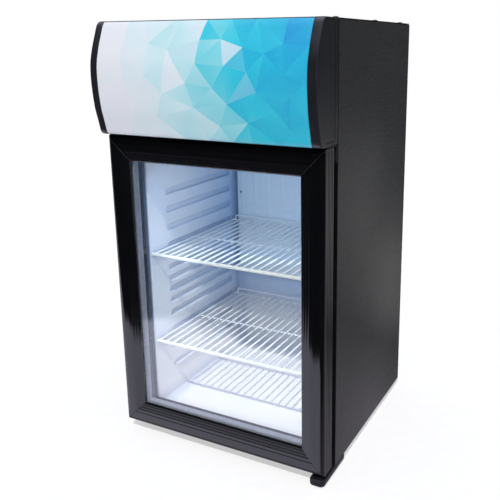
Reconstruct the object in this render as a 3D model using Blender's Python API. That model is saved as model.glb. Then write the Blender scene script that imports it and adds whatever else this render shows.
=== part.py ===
"""Counter-top glass door merchandiser: a black steel cabinet with a lit canopy,
a right-hinged double-glazed door, two wire shelves and a top-mounted cooling unit.

Metres, +Z up, front toward -Y, +X to the viewer's right.  World origin: centre of
the footprint, on the counter.  All sizes below are measured from the door's front
face (y = 0 there); the empty "cabinet_origin" moves them to the world frame.
"""

import math

import bmesh
import bpy
from mathutils import Vector

for old in list(bpy.data.objects):
    bpy.data.objects.remove(old, do_unlink=True)

# ---------------------------------------------------------- shared dimensions
WIDTH = 0.430                 # cabinet, door and canopy share one width
HALF = WIDTH / 2
SHEET = 0.0010                # steel skins
GAP = 0.0003                  # clearance between neighbouring pieces
FRONT_OFFSET = 0.200          # door front face to the centre of the footprint
SIDES = (("left", -1), ("right", 1))

CAB_FRONT, CAB_BACK = 0.0500, 0.4075
CAB_BOTTOM, CAB_TOP = 0.0150, 0.7880
TOP_PANEL_Z = 0.7868          # underside of the top panel
BACK_PANEL_Y = 0.4063         # front face of the back panel
SIDE_TOP = TOP_PANEL_Z - GAP
INNER_X = HALF - SHEET - GAP  # half width available between the side panels
INNER_FRONT = CAB_FRONT + SHEET + GAP
INNER_BACK = BACK_PANEL_Y - GAP
INNER_BOTTOM = CAB_BOTTOM + SHEET + GAP
INNER_TOP = SIDE_TOP - SHEET - GAP
DECK_Z = 0.5903               # underside of the machine compartment floor
DECK_TOP = DECK_Z + SHEET + GAP   # where the machinery stands

DOOR_Z0, DOOR_Z1 = 0.0220, 0.5910
DOOR_BACK = 0.0347
HINGE = HINGE_X, HINGE_Y = 0.2000, 0.0180

CANOPY_Z0, CANOPY_Z1 = 0.5940, CAB_TOP
CANOPY_BACK = CAB_FRONT - GAP

# rear fittings, centres as (x, z)
THERMOSTAT = (-0.1600, 0.7250)
CORD = (-0.1800, 0.6300)
SWITCH = (-0.0950, 0.7450)

# ------------------------------------------------------------------ materials
# finish: (base colour, roughness, metallic)
FINISH = {
    "painted_black": ((0.030, 0.031, 0.033), 0.42, 0.0),
    "back_black": ((0.040, 0.041, 0.043), 0.60, 0.0),
    "galvanised": ((0.56, 0.57, 0.58), 0.45, 1.0),
    "foam": ((0.82, 0.76, 0.58), 0.95, 0.0),
    "liner_white": ((0.86, 0.88, 0.90), 0.35, 0.0),
    "evaporator": ((0.66, 0.70, 0.74), 0.40, 1.0),
    "wire_white": ((0.90, 0.91, 0.91), 0.32, 0.0),
    "pvc_black": ((0.012, 0.012, 0.014), 0.16, 0.0),
    "abs_black": ((0.018, 0.018, 0.020), 0.28, 0.0),
    "print": ((0.32, 0.68, 0.84), 0.25, 0.0),
    "lens": ((0.92, 0.94, 0.96), 0.30, 0.0),
    "glass": ((0.90, 0.95, 0.96), 0.03, 0.0),
    "spacer": ((0.62, 0.64, 0.66), 0.35, 1.0),
    "gasket": ((0.035, 0.035, 0.038), 0.60, 0.0),
    "steel": ((0.60, 0.61, 0.63), 0.28, 1.0),
    "nylon": ((0.78, 0.78, 0.76), 0.45, 0.0),
    "screw": ((0.050, 0.050, 0.055), 0.35, 1.0),
    "rubber": ((0.020, 0.020, 0.021), 0.85, 0.0),
    "compressor": ((0.015, 0.015, 0.017), 0.35, 0.0),
    "copper": ((0.72, 0.40, 0.25), 0.28, 1.0),
    "fins": ((0.70, 0.71, 0.72), 0.40, 1.0),
    "plastic_black": ((0.022, 0.022, 0.024), 0.45, 0.0),
}
GLASS_INPUTS = {"Transmission Weight": 1.0, "IOR": 1.5}


def material_for(name, finish):
    colour, roughness, metallic = FINISH[finish]
    material = bpy.data.materials.new(name + "_" + finish)
    material.use_nodes = True
    inputs = material.node_tree.nodes["Principled BSDF"].inputs
    inputs["Base Color"].default_value = (*colour, 1.0)
    inputs["Roughness"].default_value = roughness
    inputs["Metallic"].default_value = metallic
    if finish == "glass":
        for socket, value in GLASS_INPUTS.items():
            inputs[socket].default_value = value
    material.diffuse_color = (*colour, 1.0)
    return material


# -------------------------------------------------------- objects and joints
def empty(name, location, parent=None):
    ob = bpy.data.objects.new(name, None)
    ob.empty_display_size = 0.03
    ob.location = location
    bpy.context.scene.collection.objects.link(ob)
    ob.parent = parent
    return ob


ORIGIN = empty("cabinet_origin", (0.0, -FRONT_OFFSET, 0.0))


def mesh_for(name, bm, parent):
    """Bake a bmesh in door-front coordinates into a mesh in its parent's frame."""
    bmesh.ops.recalc_face_normals(bm, faces=bm.faces[:])
    if parent != ORIGIN:
        bmesh.ops.translate(bm, verts=bm.verts[:], vec=-parent.location)
    mesh = bpy.data.meshes.new(name)
    bm.to_mesh(mesh)
    bm.free()
    return mesh


def place(name, bm, finish, parent=ORIGIN, smooth=None):
    """Make a named object; smooth is the sharp-edge angle in degrees."""
    mesh = mesh_for(name, bm, parent)
    if smooth:
        mesh.shade_smooth()
        mesh.set_sharp_from_angle(angle=math.radians(smooth))
    mesh.materials.append(material_for(name, finish))
    ob = bpy.data.objects.new(name, mesh)
    bpy.context.scene.collection.objects.link(ob)
    ob.parent = parent
    return ob


def combine(ob, operation, *shapes):
    """Boolean each closed bmesh with an object in turn, baking the results."""
    for shape in shapes:
        tool = bpy.data.objects.new("tool", mesh_for("tool", shape, ob.parent))
        tool.parent = ob.parent
        bpy.context.scene.collection.objects.link(tool)
        modifier = ob.modifiers.new("cut", "BOOLEAN")
        modifier.operation = operation
        modifier.solver = "EXACT"
        modifier.object = tool
        bpy.context.view_layer.update()
        graph = bpy.context.evaluated_depsgraph_get()
        baked = bpy.data.meshes.new_from_object(ob.evaluated_get(graph))
        ob.modifiers.clear()
        ob.data = baked
        bpy.data.objects.remove(tool, do_unlink=True)


# ------------------------------------------------------------------- outlines
def span(centre, half):
    return centre - half, centre + half


def rect(across, up):
    return [(across[0], up[0]), (across[1], up[0]), (across[1], up[1]), (across[0], up[1])]


def rounded(across, up, radius, steps):
    """Rectangle with each corner turned in the given number of steps."""
    left, right = across[0] + radius, across[1] - radius
    low, high = up[0] + radius, up[1] - radius
    points = []
    for u, v, start in ((right, low, -90), (right, high, 0), (left, high, 90), (left, low, 180)):
        for i in range(steps + 1):
            angle = math.radians(start + 90 * i / steps)
            points.append((u + radius * math.cos(angle), v + radius * math.sin(angle)))
    return points


def circle(centre, radius, count):
    angles = [2 * math.pi * i / count for i in range(count)]
    return [(centre[0] + radius * math.cos(angle), centre[1] + radius * math.sin(angle))
            for angle in angles]


# ------------------------------------------------------------- shape builders
def at(axis, along, u, v):
    """Point at a distance along one axis; u, v are the other two in x, y, z order."""
    return {"x": (along, u, v), "y": (u, along, v), "z": (u, v, along)}[axis]


def bridge(bm, first, second):
    """Join two equal loops of vertices with a band of quads."""
    for i in range(len(first)):
        j = (i + 1) % len(first)
        bm.faces.new((first[i], first[j], second[j], second[i]))


def prism(outline, axis, ends, bm=None):
    """Closed outline extruded along one axis, into a given bmesh or a new one."""
    if bm is None:
        bm = bmesh.new()
    start, stop = ends
    face = bm.faces.new([bm.verts.new(at(axis, start, u, v)) for u, v in outline])
    extruded = bmesh.ops.extrude_face_region(bm, geom=[face])
    moved = [part for part in extruded["geom"] if isinstance(part, bmesh.types.BMVert)]
    bmesh.ops.translate(bm, verts=moved, vec=Vector(at(axis, stop - start, 0.0, 0.0)))
    bmesh.ops.triangulate(bm, faces=[face for face in bm.faces if len(face.verts) > 4])
    return bm


def box(x, y, z):
    return prism(rect(x, y), "z", z)


def ring(outer, inner, axis, ends):
    """Plate between two outlines with the same number of points."""
    bm = bmesh.new()
    start, stop = ends
    loops = [[bm.verts.new(at(axis, along, u, v)) for u, v in outline]
             for outline, along in ((outer, start), (inner, start), (inner, stop), (outer, stop))]
    for i in range(4):
        bridge(bm, loops[i], loops[(i + 1) % 4])
    return bm


def lathe(profile, axis, centre, count):
    """Turned solid: profile of (radius, position along the axis)."""
    bm = bmesh.new()
    rows = []
    for radius, along in profile:
        points = circle(centre, radius, count) if radius else [centre]
        rows.append([bm.verts.new(at(axis, along, u, v)) for u, v in points])
    for first, second in zip(rows, rows[1:]):
        if len(first) == len(second):
            bridge(bm, first, second)
            continue
        for i in range(count):
            j = (i + 1) % count
            if len(first) == 1:
                bm.faces.new((first[0], second[i], second[j]))
            else:
                bm.faces.new((first[i], second[0], first[j]))
    return bm


def bend(points, radius, steps=3):
    """Round each inner corner of a polyline."""
    points = [Vector(point) for point in points]
    path = [points[0]]
    for before, corner, after in zip(points, points[1:], points[2:]):
        back, ahead = before - corner, after - corner
        cut = min(radius, back.length * 0.49, ahead.length * 0.49)
        start = corner + back.normalized() * cut
        stop = corner + ahead.normalized() * cut
        for i in range(steps + 1):
            t = i / steps
            path.append(start.lerp(corner, t).lerp(corner.lerp(stop, t), t))
    path.append(points[-1])
    return path


def tube(path, radius, count=8):
    """Round bar or pipe along a list of vectors, ends closed."""
    bm = bmesh.new()
    headings = [(after - before).normalized() for before, after in zip(path, path[1:])]
    side = headings[0].orthogonal().normalized()
    loops = []
    for i, point in enumerate(path):
        ahead, behind = headings[min(i, len(headings) - 1)], headings[max(i - 1, 0)]
        tangent = (ahead + behind).normalized()
        side = (side - tangent * side.dot(tangent)).normalized()
        up = tangent.cross(side)
        angles = [2 * math.pi * k / count for k in range(count)]
        loops.append([bm.verts.new(point + side * radius * math.cos(angle)
                                   + up * radius * math.sin(angle)) for angle in angles])
    for first, second in zip(loops, loops[1:]):
        bridge(bm, first, second)
    bm.faces.new(loops[0])
    bm.faces.new(loops[-1])
    return bm


# faces of a grid cell: (step to the neighbour, steps to the four corners)
CELL_FACES = (
    ((-1, 0, 0), ((0, 0, 0), (0, 0, 1), (0, 1, 1), (0, 1, 0))),
    ((1, 0, 0), ((1, 0, 0), (1, 1, 0), (1, 1, 1), (1, 0, 1))),
    ((0, -1, 0), ((0, 0, 0), (1, 0, 0), (1, 0, 1), (0, 0, 1))),
    ((0, 1, 0), ((0, 1, 0), (0, 1, 1), (1, 1, 1), (1, 1, 0))),
    ((0, 0, -1), ((0, 0, 0), (0, 1, 0), (1, 1, 0), (1, 0, 0))),
    ((0, 0, 1), ((0, 0, 1), (1, 0, 1), (1, 1, 1), (0, 1, 1))),
)


def cells(xs, ys, zs, solid):
    """Union of boxes on a grid, built as one skin with shared corners."""
    bm = bmesh.new()
    verts = {}

    def corner(i, j, k):
        if (i, j, k) not in verts:
            verts[(i, j, k)] = bm.verts.new((xs[i], ys[j], zs[k]))
        return verts[(i, j, k)]

    grid = [(i, j, k) for i in range(len(xs) - 1) for j in range(len(ys) - 1)
            for k in range(len(zs) - 1)]
    filled = {cell for cell in grid if solid(*cell)}
    for i, j, k in grid:
        if (i, j, k) not in filled:
            continue
        for (di, dj, dk), corners in CELL_FACES:
            if (i + di, j + dj, k + dk) not in filled:
                bm.faces.new([corner(i + ci, j + cj, k + ck) for ci, cj, ck in corners])
    return bm


# =========================================================== outer cabinet
SIDE_FLANGE_X = 0.1880        # inner edge of the flange folded in at the top
# (x, z) of the right-hand side panel
SIDE_OUTLINE = [
    (HALF, CAB_BOTTOM), (HALF, SIDE_TOP), (SIDE_FLANGE_X, SIDE_TOP),
    (SIDE_FLANGE_X, SIDE_TOP - SHEET), (HALF - SHEET, SIDE_TOP - SHEET),
    (HALF - SHEET, CAB_BOTTOM)]
for side, sign in SIDES:
    place(f"side_panel_{side}",
          prism([(sign * x, z) for x, z in SIDE_OUTLINE], "y", (CAB_FRONT, CAB_BACK)),
          "painted_black")

place("top_panel", box(x=span(0, HALF), y=(CAB_FRONT, CAB_BACK), z=(TOP_PANEL_Z, CAB_TOP)),
      "painted_black")
place("base_plate", box(x=span(0, INNER_X), y=(CAB_FRONT, INNER_BACK),
                        z=(CAB_BOTTOM, CAB_BOTTOM + SHEET)), "galvanised")

FLANGE_X, FLANGE_Z0, FLANGE_Z1 = 0.1885, 0.0260, 0.5720   # rim of the liner's front flange
place("front_plate",
      ring(rect(span(0, INNER_X), (INNER_BOTTOM, INNER_TOP)),
           rect(span(0, FLANGE_X + GAP), (FLANGE_Z0 - GAP, FLANGE_Z1 + GAP)),
           "y", (CAB_FRONT, CAB_FRONT + SHEET)), "painted_black")

# back panel: two stacks of slots, a hole for the control shaft and one for the cord
BACK_CUT_Y = (0.4040, 0.4100)
SLOT_Z, SLOT_PITCH, SLOT_HEIGHT, SLOT_CORNER = 0.6120, 0.0190, 0.0080, 0.0039
SLOT_STACKS = (((0.0350, 0.1850), 7), ((-0.1500, -0.0300), 4))   # (x range, rows)
SHAFT_HOLE_RADIUS, CORD_HOLE_RADIUS = 0.0045, 0.0052
back_panel = place("back_panel", box(x=span(0, INNER_X), y=(BACK_PANEL_Y, CAB_BACK),
                                     z=(CAB_BOTTOM, INNER_TOP)), "back_black")
slots = bmesh.new()
for slot_x, rows in SLOT_STACKS:
    for row in range(rows):
        z = SLOT_Z + row * SLOT_PITCH
        prism(rounded(slot_x, (z, z + SLOT_HEIGHT), SLOT_CORNER, 1), "y", BACK_CUT_Y, slots)
combine(back_panel, "DIFFERENCE", slots)
holes = prism(circle(THERMOSTAT, SHAFT_HOLE_RADIUS, 16), "y", BACK_CUT_Y)
prism(circle(CORD, CORD_HOLE_RADIUS, 12), "y", BACK_CUT_Y, holes)
combine(back_panel, "DIFFERENCE", holes)

# ======================================================= insulation and liner
LINER_X, LINER_OUT_X = 0.1745, 0.1800
LINER_FLOOR, LINER_OUT_FLOOR = 0.0380, 0.0360
LINER_CEIL, LINER_OUT_CEIL = 0.5600, 0.5620
LINER_BACK, LINER_OUT_BACK = 0.3715, 0.3738
FOAM_X = LINER_OUT_X + GAP

# foam body around the liner, open at the front
place("foam_insulation", cells(
    [-INNER_X, -FOAM_X, FOAM_X, INNER_X],
    [INNER_FRONT, LINER_OUT_BACK + GAP, INNER_BACK],
    [INNER_BOTTOM, LINER_OUT_FLOOR - GAP, LINER_OUT_CEIL + GAP, DECK_Z - GAP],
    lambda i, j, k: (i, j, k) != (1, 0, 1)), "foam")
place("machine_deck", box(x=span(0, INNER_X), y=(INNER_FRONT, INNER_BACK),
                          z=(DECK_Z, DECK_Z + SHEET)), "galvanised")


def liner_solid(i, j, k):
    """Front flange in layer 0, walls in layer 1, rear wall in layer 2."""
    opening = i == 2 and k == 2
    if j == 0:
        return not opening
    return 1 <= i <= 3 and 1 <= k <= 3 and (j == 2 or not opening)


liner = place("inner_liner", cells(
    [-FLANGE_X, -LINER_OUT_X, -LINER_X, LINER_X, LINER_OUT_X, FLANGE_X],
    [CAB_FRONT, CAB_FRONT + SHEET, LINER_BACK, LINER_OUT_BACK],
    [FLANGE_Z0, LINER_OUT_FLOOR, LINER_FLOOR, LINER_CEIL, LINER_OUT_CEIL, FLANGE_Z1],
    liner_solid), "liner_white")

# bottoms of the shelf grooves sunk in both side walls: four on a wide pitch, four on
# a narrow one, four on a wide one
GROOVE_ZS = [0.4615, 0.4250, 0.3885, 0.3515,
             0.3050, 0.2820, 0.2590, 0.2355,
             0.2080, 0.1715, 0.1340, 0.0970]
GROOVE_Y = (0.1050, 0.3420)
GROOVE_CUT_X = (0.1730, 0.1785)
GROOVE_HEIGHT, GROOVE_CORNER = 0.0145, 0.0060
grooves = bmesh.new()
for z in GROOVE_ZS:
    for side, sign in SIDES:
        prism(rounded(GROOVE_Y, (z, z + GROOVE_HEIGHT), GROOVE_CORNER, 2),
              "x", [sign * x for x in GROOVE_CUT_X], grooves)
combine(liner, "DIFFERENCE", grooves)

# plate evaporator standing off the rear wall on four pressed feet, with its fixing hole
EVAP_FIXING, EVAP_FIXING_RADIUS = (-0.1565, 0.4205), 0.0022
EVAP_FOOT_XS, EVAP_FOOT_ZS = (-0.120, 0.120), (0.270, 0.506)
evaporator = place("evaporator_plate", box(x=span(0, 0.1655), y=(0.3575, 0.3590),
                                           z=(0.2280, 0.5480)), "evaporator")
combine(evaporator, "DIFFERENCE",
        prism(circle(EVAP_FIXING, EVAP_FIXING_RADIUS, 10), "y", (0.3500, 0.3650)))
combine(evaporator, "UNION", *[
    box(x=span(x, 0.010), y=(0.3585, LINER_BACK - GAP), z=span(z, 0.008))
    for x in EVAP_FOOT_XS for z in EVAP_FOOT_ZS])

# (y, z) of the lamp cover under the liner ceiling
LAMP_TOP = LINER_CEIL - GAP
LAMP_OUTLINE = [(0.0760, LAMP_TOP), (0.0760, 0.5520), (0.0790, 0.5490),
                (0.0930, 0.5490), (0.0960, 0.5520), (0.0960, LAMP_TOP)]
place("interior_lamp", prism(LAMP_OUTLINE, "x", span(0, 0.1100)), "lens")

# ============================================================== wire shelves
SHELF_FRONT, SHELF_BACK = 0.0545, 0.3555
FRONT_RAIL, MIDDLE_RAIL_Y = 0.0050, 0.2000
BAR, BAR_HEIGHT, BAR_PITCH, BAR_COUNT = 0.0034, 0.0036, 0.01634, 22
LUG_X = 0.1777                # ends of the middle rail, lying in the side grooves
REAR_RAIL_RISE = 0.0110


def shelf(name, z):
    """Bars front to back, a front rail, a middle rail and a raised rear rail."""
    xs = [-LUG_X]
    for i in range(BAR_COUNT):
        xs += span((i - (BAR_COUNT - 1) / 2) * BAR_PITCH, BAR / 2)
    xs.append(LUG_X)
    ys = [SHELF_FRONT, SHELF_FRONT + FRONT_RAIL, MIDDLE_RAIL_Y, MIDDLE_RAIL_Y + BAR,
          SHELF_BACK - BAR, SHELF_BACK]
    zs = [z, z + BAR_HEIGHT, z + REAR_RAIL_RISE, z + REAR_RAIL_RISE + BAR_HEIGHT]

    def solid(i, j, k):
        bar = i % 2 == 1
        if k == 0 and j == 2:
            return True
        if i in (0, len(xs) - 2):
            return False
        if k == 0:
            return bar or j == 0
        return j == 4 and (bar or k == 2)

    place(name, cells(xs, ys, zs, solid), "wire_white")


shelf("shelf_upper", GROOVE_ZS[3] + GAP)
shelf("shelf_lower", GROOVE_ZS[9] + GAP)

# ================================================================== canopy
CAP_INNER_X = 0.1993          # inner face of each end cap
PANEL_X = CAP_INNER_X - GAP
# side profile of the canopy front, bottom to top: (y, z)
CANOPY_CURVE = [
    (-0.0060, CANOPY_Z0), (-0.0125, 0.5962), (-0.0165, 0.6020), (-0.0210, 0.6200),
    (-0.0258, 0.6380), (-0.0285, 0.6560), (-0.0303, 0.6760), (-0.0310, 0.6960),
    (-0.0298, 0.7160), (-0.0264, 0.7320), (-0.0205, 0.7500), (-0.0150, 0.7640),
    (-0.0098, 0.7770), (-0.0058, 0.7840), (0.0010, CANOPY_Z1)]
CAP_OUTLINE = CANOPY_CURVE + [(CANOPY_BACK, CANOPY_Z1), (CANOPY_BACK, CANOPY_Z0)]
for side, sign in SIDES:
    place(f"canopy_end_{side}",
          prism(CAP_OUTLINE, "x", sorted((sign * CAP_INNER_X, sign * HALF))),
          "abs_black", smooth=25)

# printed sheet, curved like the caps and set between them
PRINT_PROUD, PRINT_THICKNESS = 0.0002, 0.0016
PRINT_BOTTOM, PRINT_TOP = (-0.0127, 0.5960), (-0.0042, 0.7862)
print_front = [PRINT_BOTTOM] + [(y - PRINT_PROUD, z) for y, z in CANOPY_CURVE[2:14]] + [PRINT_TOP]
print_back = []
for i, (y, z) in enumerate(print_front):
    before = Vector(print_front[max(i - 1, 0)])
    after = Vector(print_front[min(i + 1, len(print_front) - 1)])
    tangent = (after - before).normalized()
    print_back.append((y + tangent.y * PRINT_THICKNESS, z - tangent.x * PRINT_THICKNESS))
place("canopy_panel", prism(print_front + print_back[::-1], "x", span(0, PANEL_X)),
      "print", smooth=25)

# folded tray: bottom lip, back and top lip in one sheet, as (y, z)
TRAY_LIP_Y = -0.0100
TRAY_BACK, TRAY_BOTTOM, TRAY_TOP = CANOPY_BACK - GAP, CANOPY_Z0 + GAP, CANOPY_Z1 - GAP
TRAY_OUTLINE = [
    (TRAY_LIP_Y, TRAY_BOTTOM), (TRAY_BACK, TRAY_BOTTOM),
    (TRAY_BACK, TRAY_TOP), (-0.0012, TRAY_TOP),
    (-0.0030, TRAY_TOP - SHEET), (TRAY_BACK - SHEET, TRAY_TOP - SHEET),
    (TRAY_BACK - SHEET, TRAY_BOTTOM + SHEET), (TRAY_LIP_Y, TRAY_BOTTOM + SHEET)]
place("canopy_tray", prism(TRAY_OUTLINE, "x", span(0, PANEL_X)), "painted_black")
place("canopy_light_bar", box(x=span(0, 0.1800), y=(0.0440, TRAY_BACK - SHEET - GAP),
                              z=(0.6820, 0.7000)), "lens")

# =========================================================== door assembly
door_axis = empty("door_hinge_axis", (HINGE_X, HINGE_Y, 0.0), ORIGIN)
MEMBER_WIDTH = 0.0445         # face width of each door frame member
CHANNEL_INSET = 0.0365        # outer edge to the floor of the glazing channel
CHANNEL_Y0, CHANNEL_Y1 = 0.0077, 0.0278
MITRE_GAP = 0.00015           # taken off each member at a mitre
# section of one frame member: (distance in from the outer edge, y)
SECTION = [
    (0.0000, 0.0060), (0.0022, 0.0024), (0.0060, 0.0005), (0.0095, 0.0000), (0.0216, 0.0000),
    (0.0222, 0.0012), (0.0232, 0.0012), (0.0237, 0.0003), (0.0285, 0.0006), (0.0289, 0.0013),
    (0.0337, 0.0016), (0.0341, 0.0023), (0.0389, 0.0026), (0.0393, 0.0033), (0.0425, 0.0036),
    (MEMBER_WIDTH, 0.0056), (MEMBER_WIDTH, CHANNEL_Y0), (CHANNEL_INSET, CHANNEL_Y0),
    (CHANNEL_INSET, CHANNEL_Y1), (MEMBER_WIDTH, CHANNEL_Y1), (MEMBER_WIDTH, DOOR_BACK),
    (0.0000, DOOR_BACK)]


def frame_member(where):
    bm = bmesh.new()
    ends = []
    for end in (-1, 1):
        loop = []
        for inset, y in SECTION:
            cut = MITRE_GAP
            if where in ("top", "bottom"):
                x = end * (HALF - inset - cut)
                z = DOOR_Z1 - inset if where == "top" else DOOR_Z0 + inset
            else:
                x = (HALF - inset) * (1 if where == "right" else -1)
                z = DOOR_Z1 - inset - cut if end > 0 else DOOR_Z0 + inset + cut
            loop.append(bm.verts.new((x, y, z)))
        ends.append(loop)
    bridge(bm, *ends)
    bmesh.ops.triangulate(bm, faces=[bm.faces.new(loop) for loop in ends])
    return place("door_frame_" + where, bm, "pvc_black", door_axis, smooth=20)


members = {where: frame_member(where) for where in ("top", "bottom", "left", "right")}

# seats for the hinge bushes, cut where two members meet
SEAT_RADIUS, SEAT_DEPTH, SEAT_OVERRUN = 0.0063, 0.0115, 0.0010
for where, seat_z in (("top", (DOOR_Z1 - SEAT_DEPTH, DOOR_Z1 + SEAT_OVERRUN)),
                      ("bottom", (DOOR_Z0 - SEAT_OVERRUN, DOOR_Z0 + SEAT_DEPTH))):
    for member in (members[where], members["right"]):
        combine(member, "DIFFERENCE", prism(circle(HINGE, SEAT_RADIUS, 16), "z", seat_z))

# two panes held apart by a spacer frame
PANE = 0.0035
PANE_INSET = CHANNEL_INSET + GAP
PANE_OUTER_Y = CHANNEL_Y0 + GAP
PANE_INNER_Y = CHANNEL_Y1 - GAP - PANE
SPACER_OUTER, SPACER_INNER = 0.0020, 0.0114   # insets from the pane edge


def pane_outline(inset):
    inset += PANE_INSET
    return rect(span(0, HALF - inset), (DOOR_Z0 + inset, DOOR_Z1 - inset))


for name, pane_y in (("glass_outer", PANE_OUTER_Y), ("glass_inner", PANE_INNER_Y)):
    place(name, prism(pane_outline(0), "y", (pane_y, pane_y + PANE)), "glass", door_axis)
place("glass_spacer", ring(pane_outline(SPACER_OUTER), pane_outline(SPACER_INNER), "y",
                           (PANE_OUTER_Y + PANE + GAP, PANE_INNER_Y - GAP)),
      "spacer", door_axis)
place("door_gasket", ring(rounded(span(0, 0.1992), (0.0300, 0.5830), 0.004, 2),
                          rounded(span(0, 0.1772), (0.0480, 0.5610), 0.002, 2),
                          "y", (DOOR_BACK + GAP, CAB_FRONT - GAP)), "gasket", door_axis)

BUSH_RADIUS, BUSH_BORE = 0.0060, 0.00308
BUSH_RECESS, BUSH_DEPTH = 0.0002, 0.0112      # bush ends, in from the door edge
for tag, bush_z in (("upper", (DOOR_Z1 - BUSH_DEPTH, DOOR_Z1 - BUSH_RECESS)),
                    ("lower", (DOOR_Z0 + BUSH_RECESS, DOOR_Z0 + BUSH_DEPTH))):
    place(f"door_bush_{tag}",
          ring(circle(HINGE, BUSH_RADIUS, 16), circle(HINGE, BUSH_BORE, 16), "z", bush_z),
          "nylon", door_axis, smooth=40)

# ================================================================== hinges
ARM_Z = (0.5919, CANOPY_Z0 - GAP)
ARM_FRONT, LUG_FRONT, LUG_BOTTOM = 0.0080, 0.0473, 0.5640
BLOCK_Z = (0.0022, 0.0145)
PIN_RADIUS = 0.0030
for tag, low, high in (("upper", 0.5810, ARM_Z[0] - GAP), ("lower", BLOCK_Z[1] + GAP, 0.0320)):
    place(f"hinge_pin_{tag}",
          lathe([(0, low), (PIN_RADIUS, low), (PIN_RADIUS, high), (0, high)], "z", HINGE, 16),
          "steel", smooth=40)

# upper: thin arm under the canopy with a lug turned down the cabinet front, as (y, z)
ARM_OUTLINE = [(ARM_FRONT, ARM_Z[0]), (LUG_FRONT, ARM_Z[0]), (LUG_FRONT, LUG_BOTTOM),
               (CANOPY_BACK, LUG_BOTTOM), (CANOPY_BACK, ARM_Z[1]), (ARM_FRONT, ARM_Z[1])]
upper_bracket = place("hinge_bracket_upper", prism(ARM_OUTLINE, "x", (0.2010, 0.2140)),
                      "painted_black")
combine(upper_bracket, "UNION", box(x=(0.1900, 0.2015), y=(ARM_FRONT, 0.0300), z=ARM_Z))


# lower: rounded block under the door corner, running back beneath the cabinet
def on_top_rim(edge):
    """True for a top edge of the block that borders one side wall."""
    walls = [face for face in edge.link_faces if abs(face.normal.z) < 0.5]
    return all(abs(vert.co.z - BLOCK_Z[1]) < 1e-6 for vert in edge.verts) and len(walls) == 1


block = prism(rounded((0.1860, 0.2145), (-0.0010, 0.1000), 0.0085, 4), "z", BLOCK_Z)
bmesh.ops.bevel(block, geom=[edge for edge in block.edges if on_top_rim(edge)],
                offset=0.0030, segments=2, profile=0.5, affect="EDGES", clamp_overlap=True)
place("hinge_bracket_lower", block, "abs_black", smooth=40)

# ========================================================= top screws and feet
SCREW_X = 0.2000
SCREW_YS = (("front", 0.0700), ("middle", 0.2465), ("rear", 0.3900))
# turned profiles: (radius, z)
SCREW_PROFILE = [(0, CAB_TOP + GAP), (0.0052, CAB_TOP + GAP), (0.0050, 0.7893),
                 (0.0036, 0.7904), (0, 0.7909)]
for side, sign in SIDES:
    for tag, y in SCREW_YS:
        place(f"top_screw_{side}_{tag}", lathe(SCREW_PROFILE, "z", (sign * SCREW_X, y), 12),
              "screw", smooth=50)

FOOT_X, FOOT_FRONT_Y, FOOT_REAR_Y = 0.1600, 0.0950, 0.3650
FOOT_TOP = CAB_BOTTOM - GAP
FOOT_PROFILE = [(0, 0.0), (0.0140, 0.0), (0.0150, 0.0015), (0.0135, 0.0085),
                (0.0060, 0.0095), (0.0060, FOOT_TOP), (0, FOOT_TOP)]
for side, sign in SIDES:
    foot_x = sign * FOOT_X
    foot_axis = empty(f"foot_{side}_axis", (foot_x, FOOT_FRONT_Y, 0.0), ORIGIN)
    for tag, y, parent in (("front", FOOT_FRONT_Y, foot_axis), ("rear", FOOT_REAR_Y, ORIGIN)):
        place(f"foot_{tag}_{side}", lathe(FOOT_PROFILE, "z", (foot_x, y), 20),
              "rubber", parent, smooth=40)

# ============================================================== compressor
COMP_X, COMP_Y = 0.0950 * -1, 0.2000
COMP_PLATE_Z = (0.6080, 0.6125)
COMP_PROFILE = [
    (0, 0.6100), (0.0400, 0.6110), (0.0540, 0.6200), (0.0580, 0.6350),
    (0.0580, 0.6700), (0.0600, 0.6720), (0.0600, 0.6760), (0.0575, 0.6780),
    (0.0560, 0.7050), (0.0480, 0.7230), (0.0280, 0.7340), (0, 0.7370)]
compressor = place("compressor", lathe(COMP_PROFILE, "z", (COMP_X, COMP_Y), 24),
                   "compressor", smooth=35)
combine(compressor, "UNION",
        box(x=span(COMP_X, 0.0780), y=span(COMP_Y, 0.0500), z=COMP_PLATE_Z))

GROMMET_DX, GROMMET_DY = 0.068, 0.038
GROMMET_TOP = COMP_PLATE_Z[0] - GAP
GROMMET_PROFILE = [
    (0, DECK_TOP), (0.0090, DECK_TOP), (0.0090, 0.5960), (0.0068, 0.5990),
    (0.0090, 0.6030), (0.0090, GROMMET_TOP), (0, GROMMET_TOP)]
for tag, sign_x, sign_y in (("a", -1, -1), ("b", 1, -1), ("c", -1, 1), ("d", 1, 1)):
    centre = (COMP_X + sign_x * GROMMET_DX, COMP_Y + sign_y * GROMMET_DY)
    place(f"compressor_grommet_{tag}", lathe(GROMMET_PROFILE, "z", centre, 12),
          "rubber", smooth=30)
place("terminal_box", box(x=(COMP_X + 0.0605, COMP_X + 0.0850), y=span(COMP_Y, 0.0220),
                          z=(0.6350, 0.6850)), "plastic_black")

# ======================================================= condenser and fan
FIN_COUNT, FIN_PITCH, FIN_WIDTH = 14, 0.0120, 0.0045
FIN_X, FIN_TIP_Y, FIN_ROOT_Y, FIN_BACK_Y = 0.0300, 0.3450, 0.3760, 0.3820
comb = [(FIN_X, FIN_BACK_Y)]
for i in range(FIN_COUNT):
    x = FIN_X + i * FIN_PITCH
    comb += [(x, FIN_TIP_Y), (x + FIN_WIDTH, FIN_TIP_Y)]
    if i < FIN_COUNT - 1:
        comb += [(x + FIN_WIDTH, FIN_ROOT_Y), (x + FIN_PITCH, FIN_ROOT_Y)]
comb.append((FIN_X + (FIN_COUNT - 1) * FIN_PITCH + FIN_WIDTH, FIN_BACK_Y))
place("condenser_fins", prism(comb, "z", (DECK_TOP + 0.0020, 0.7400)), "fins")

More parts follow.
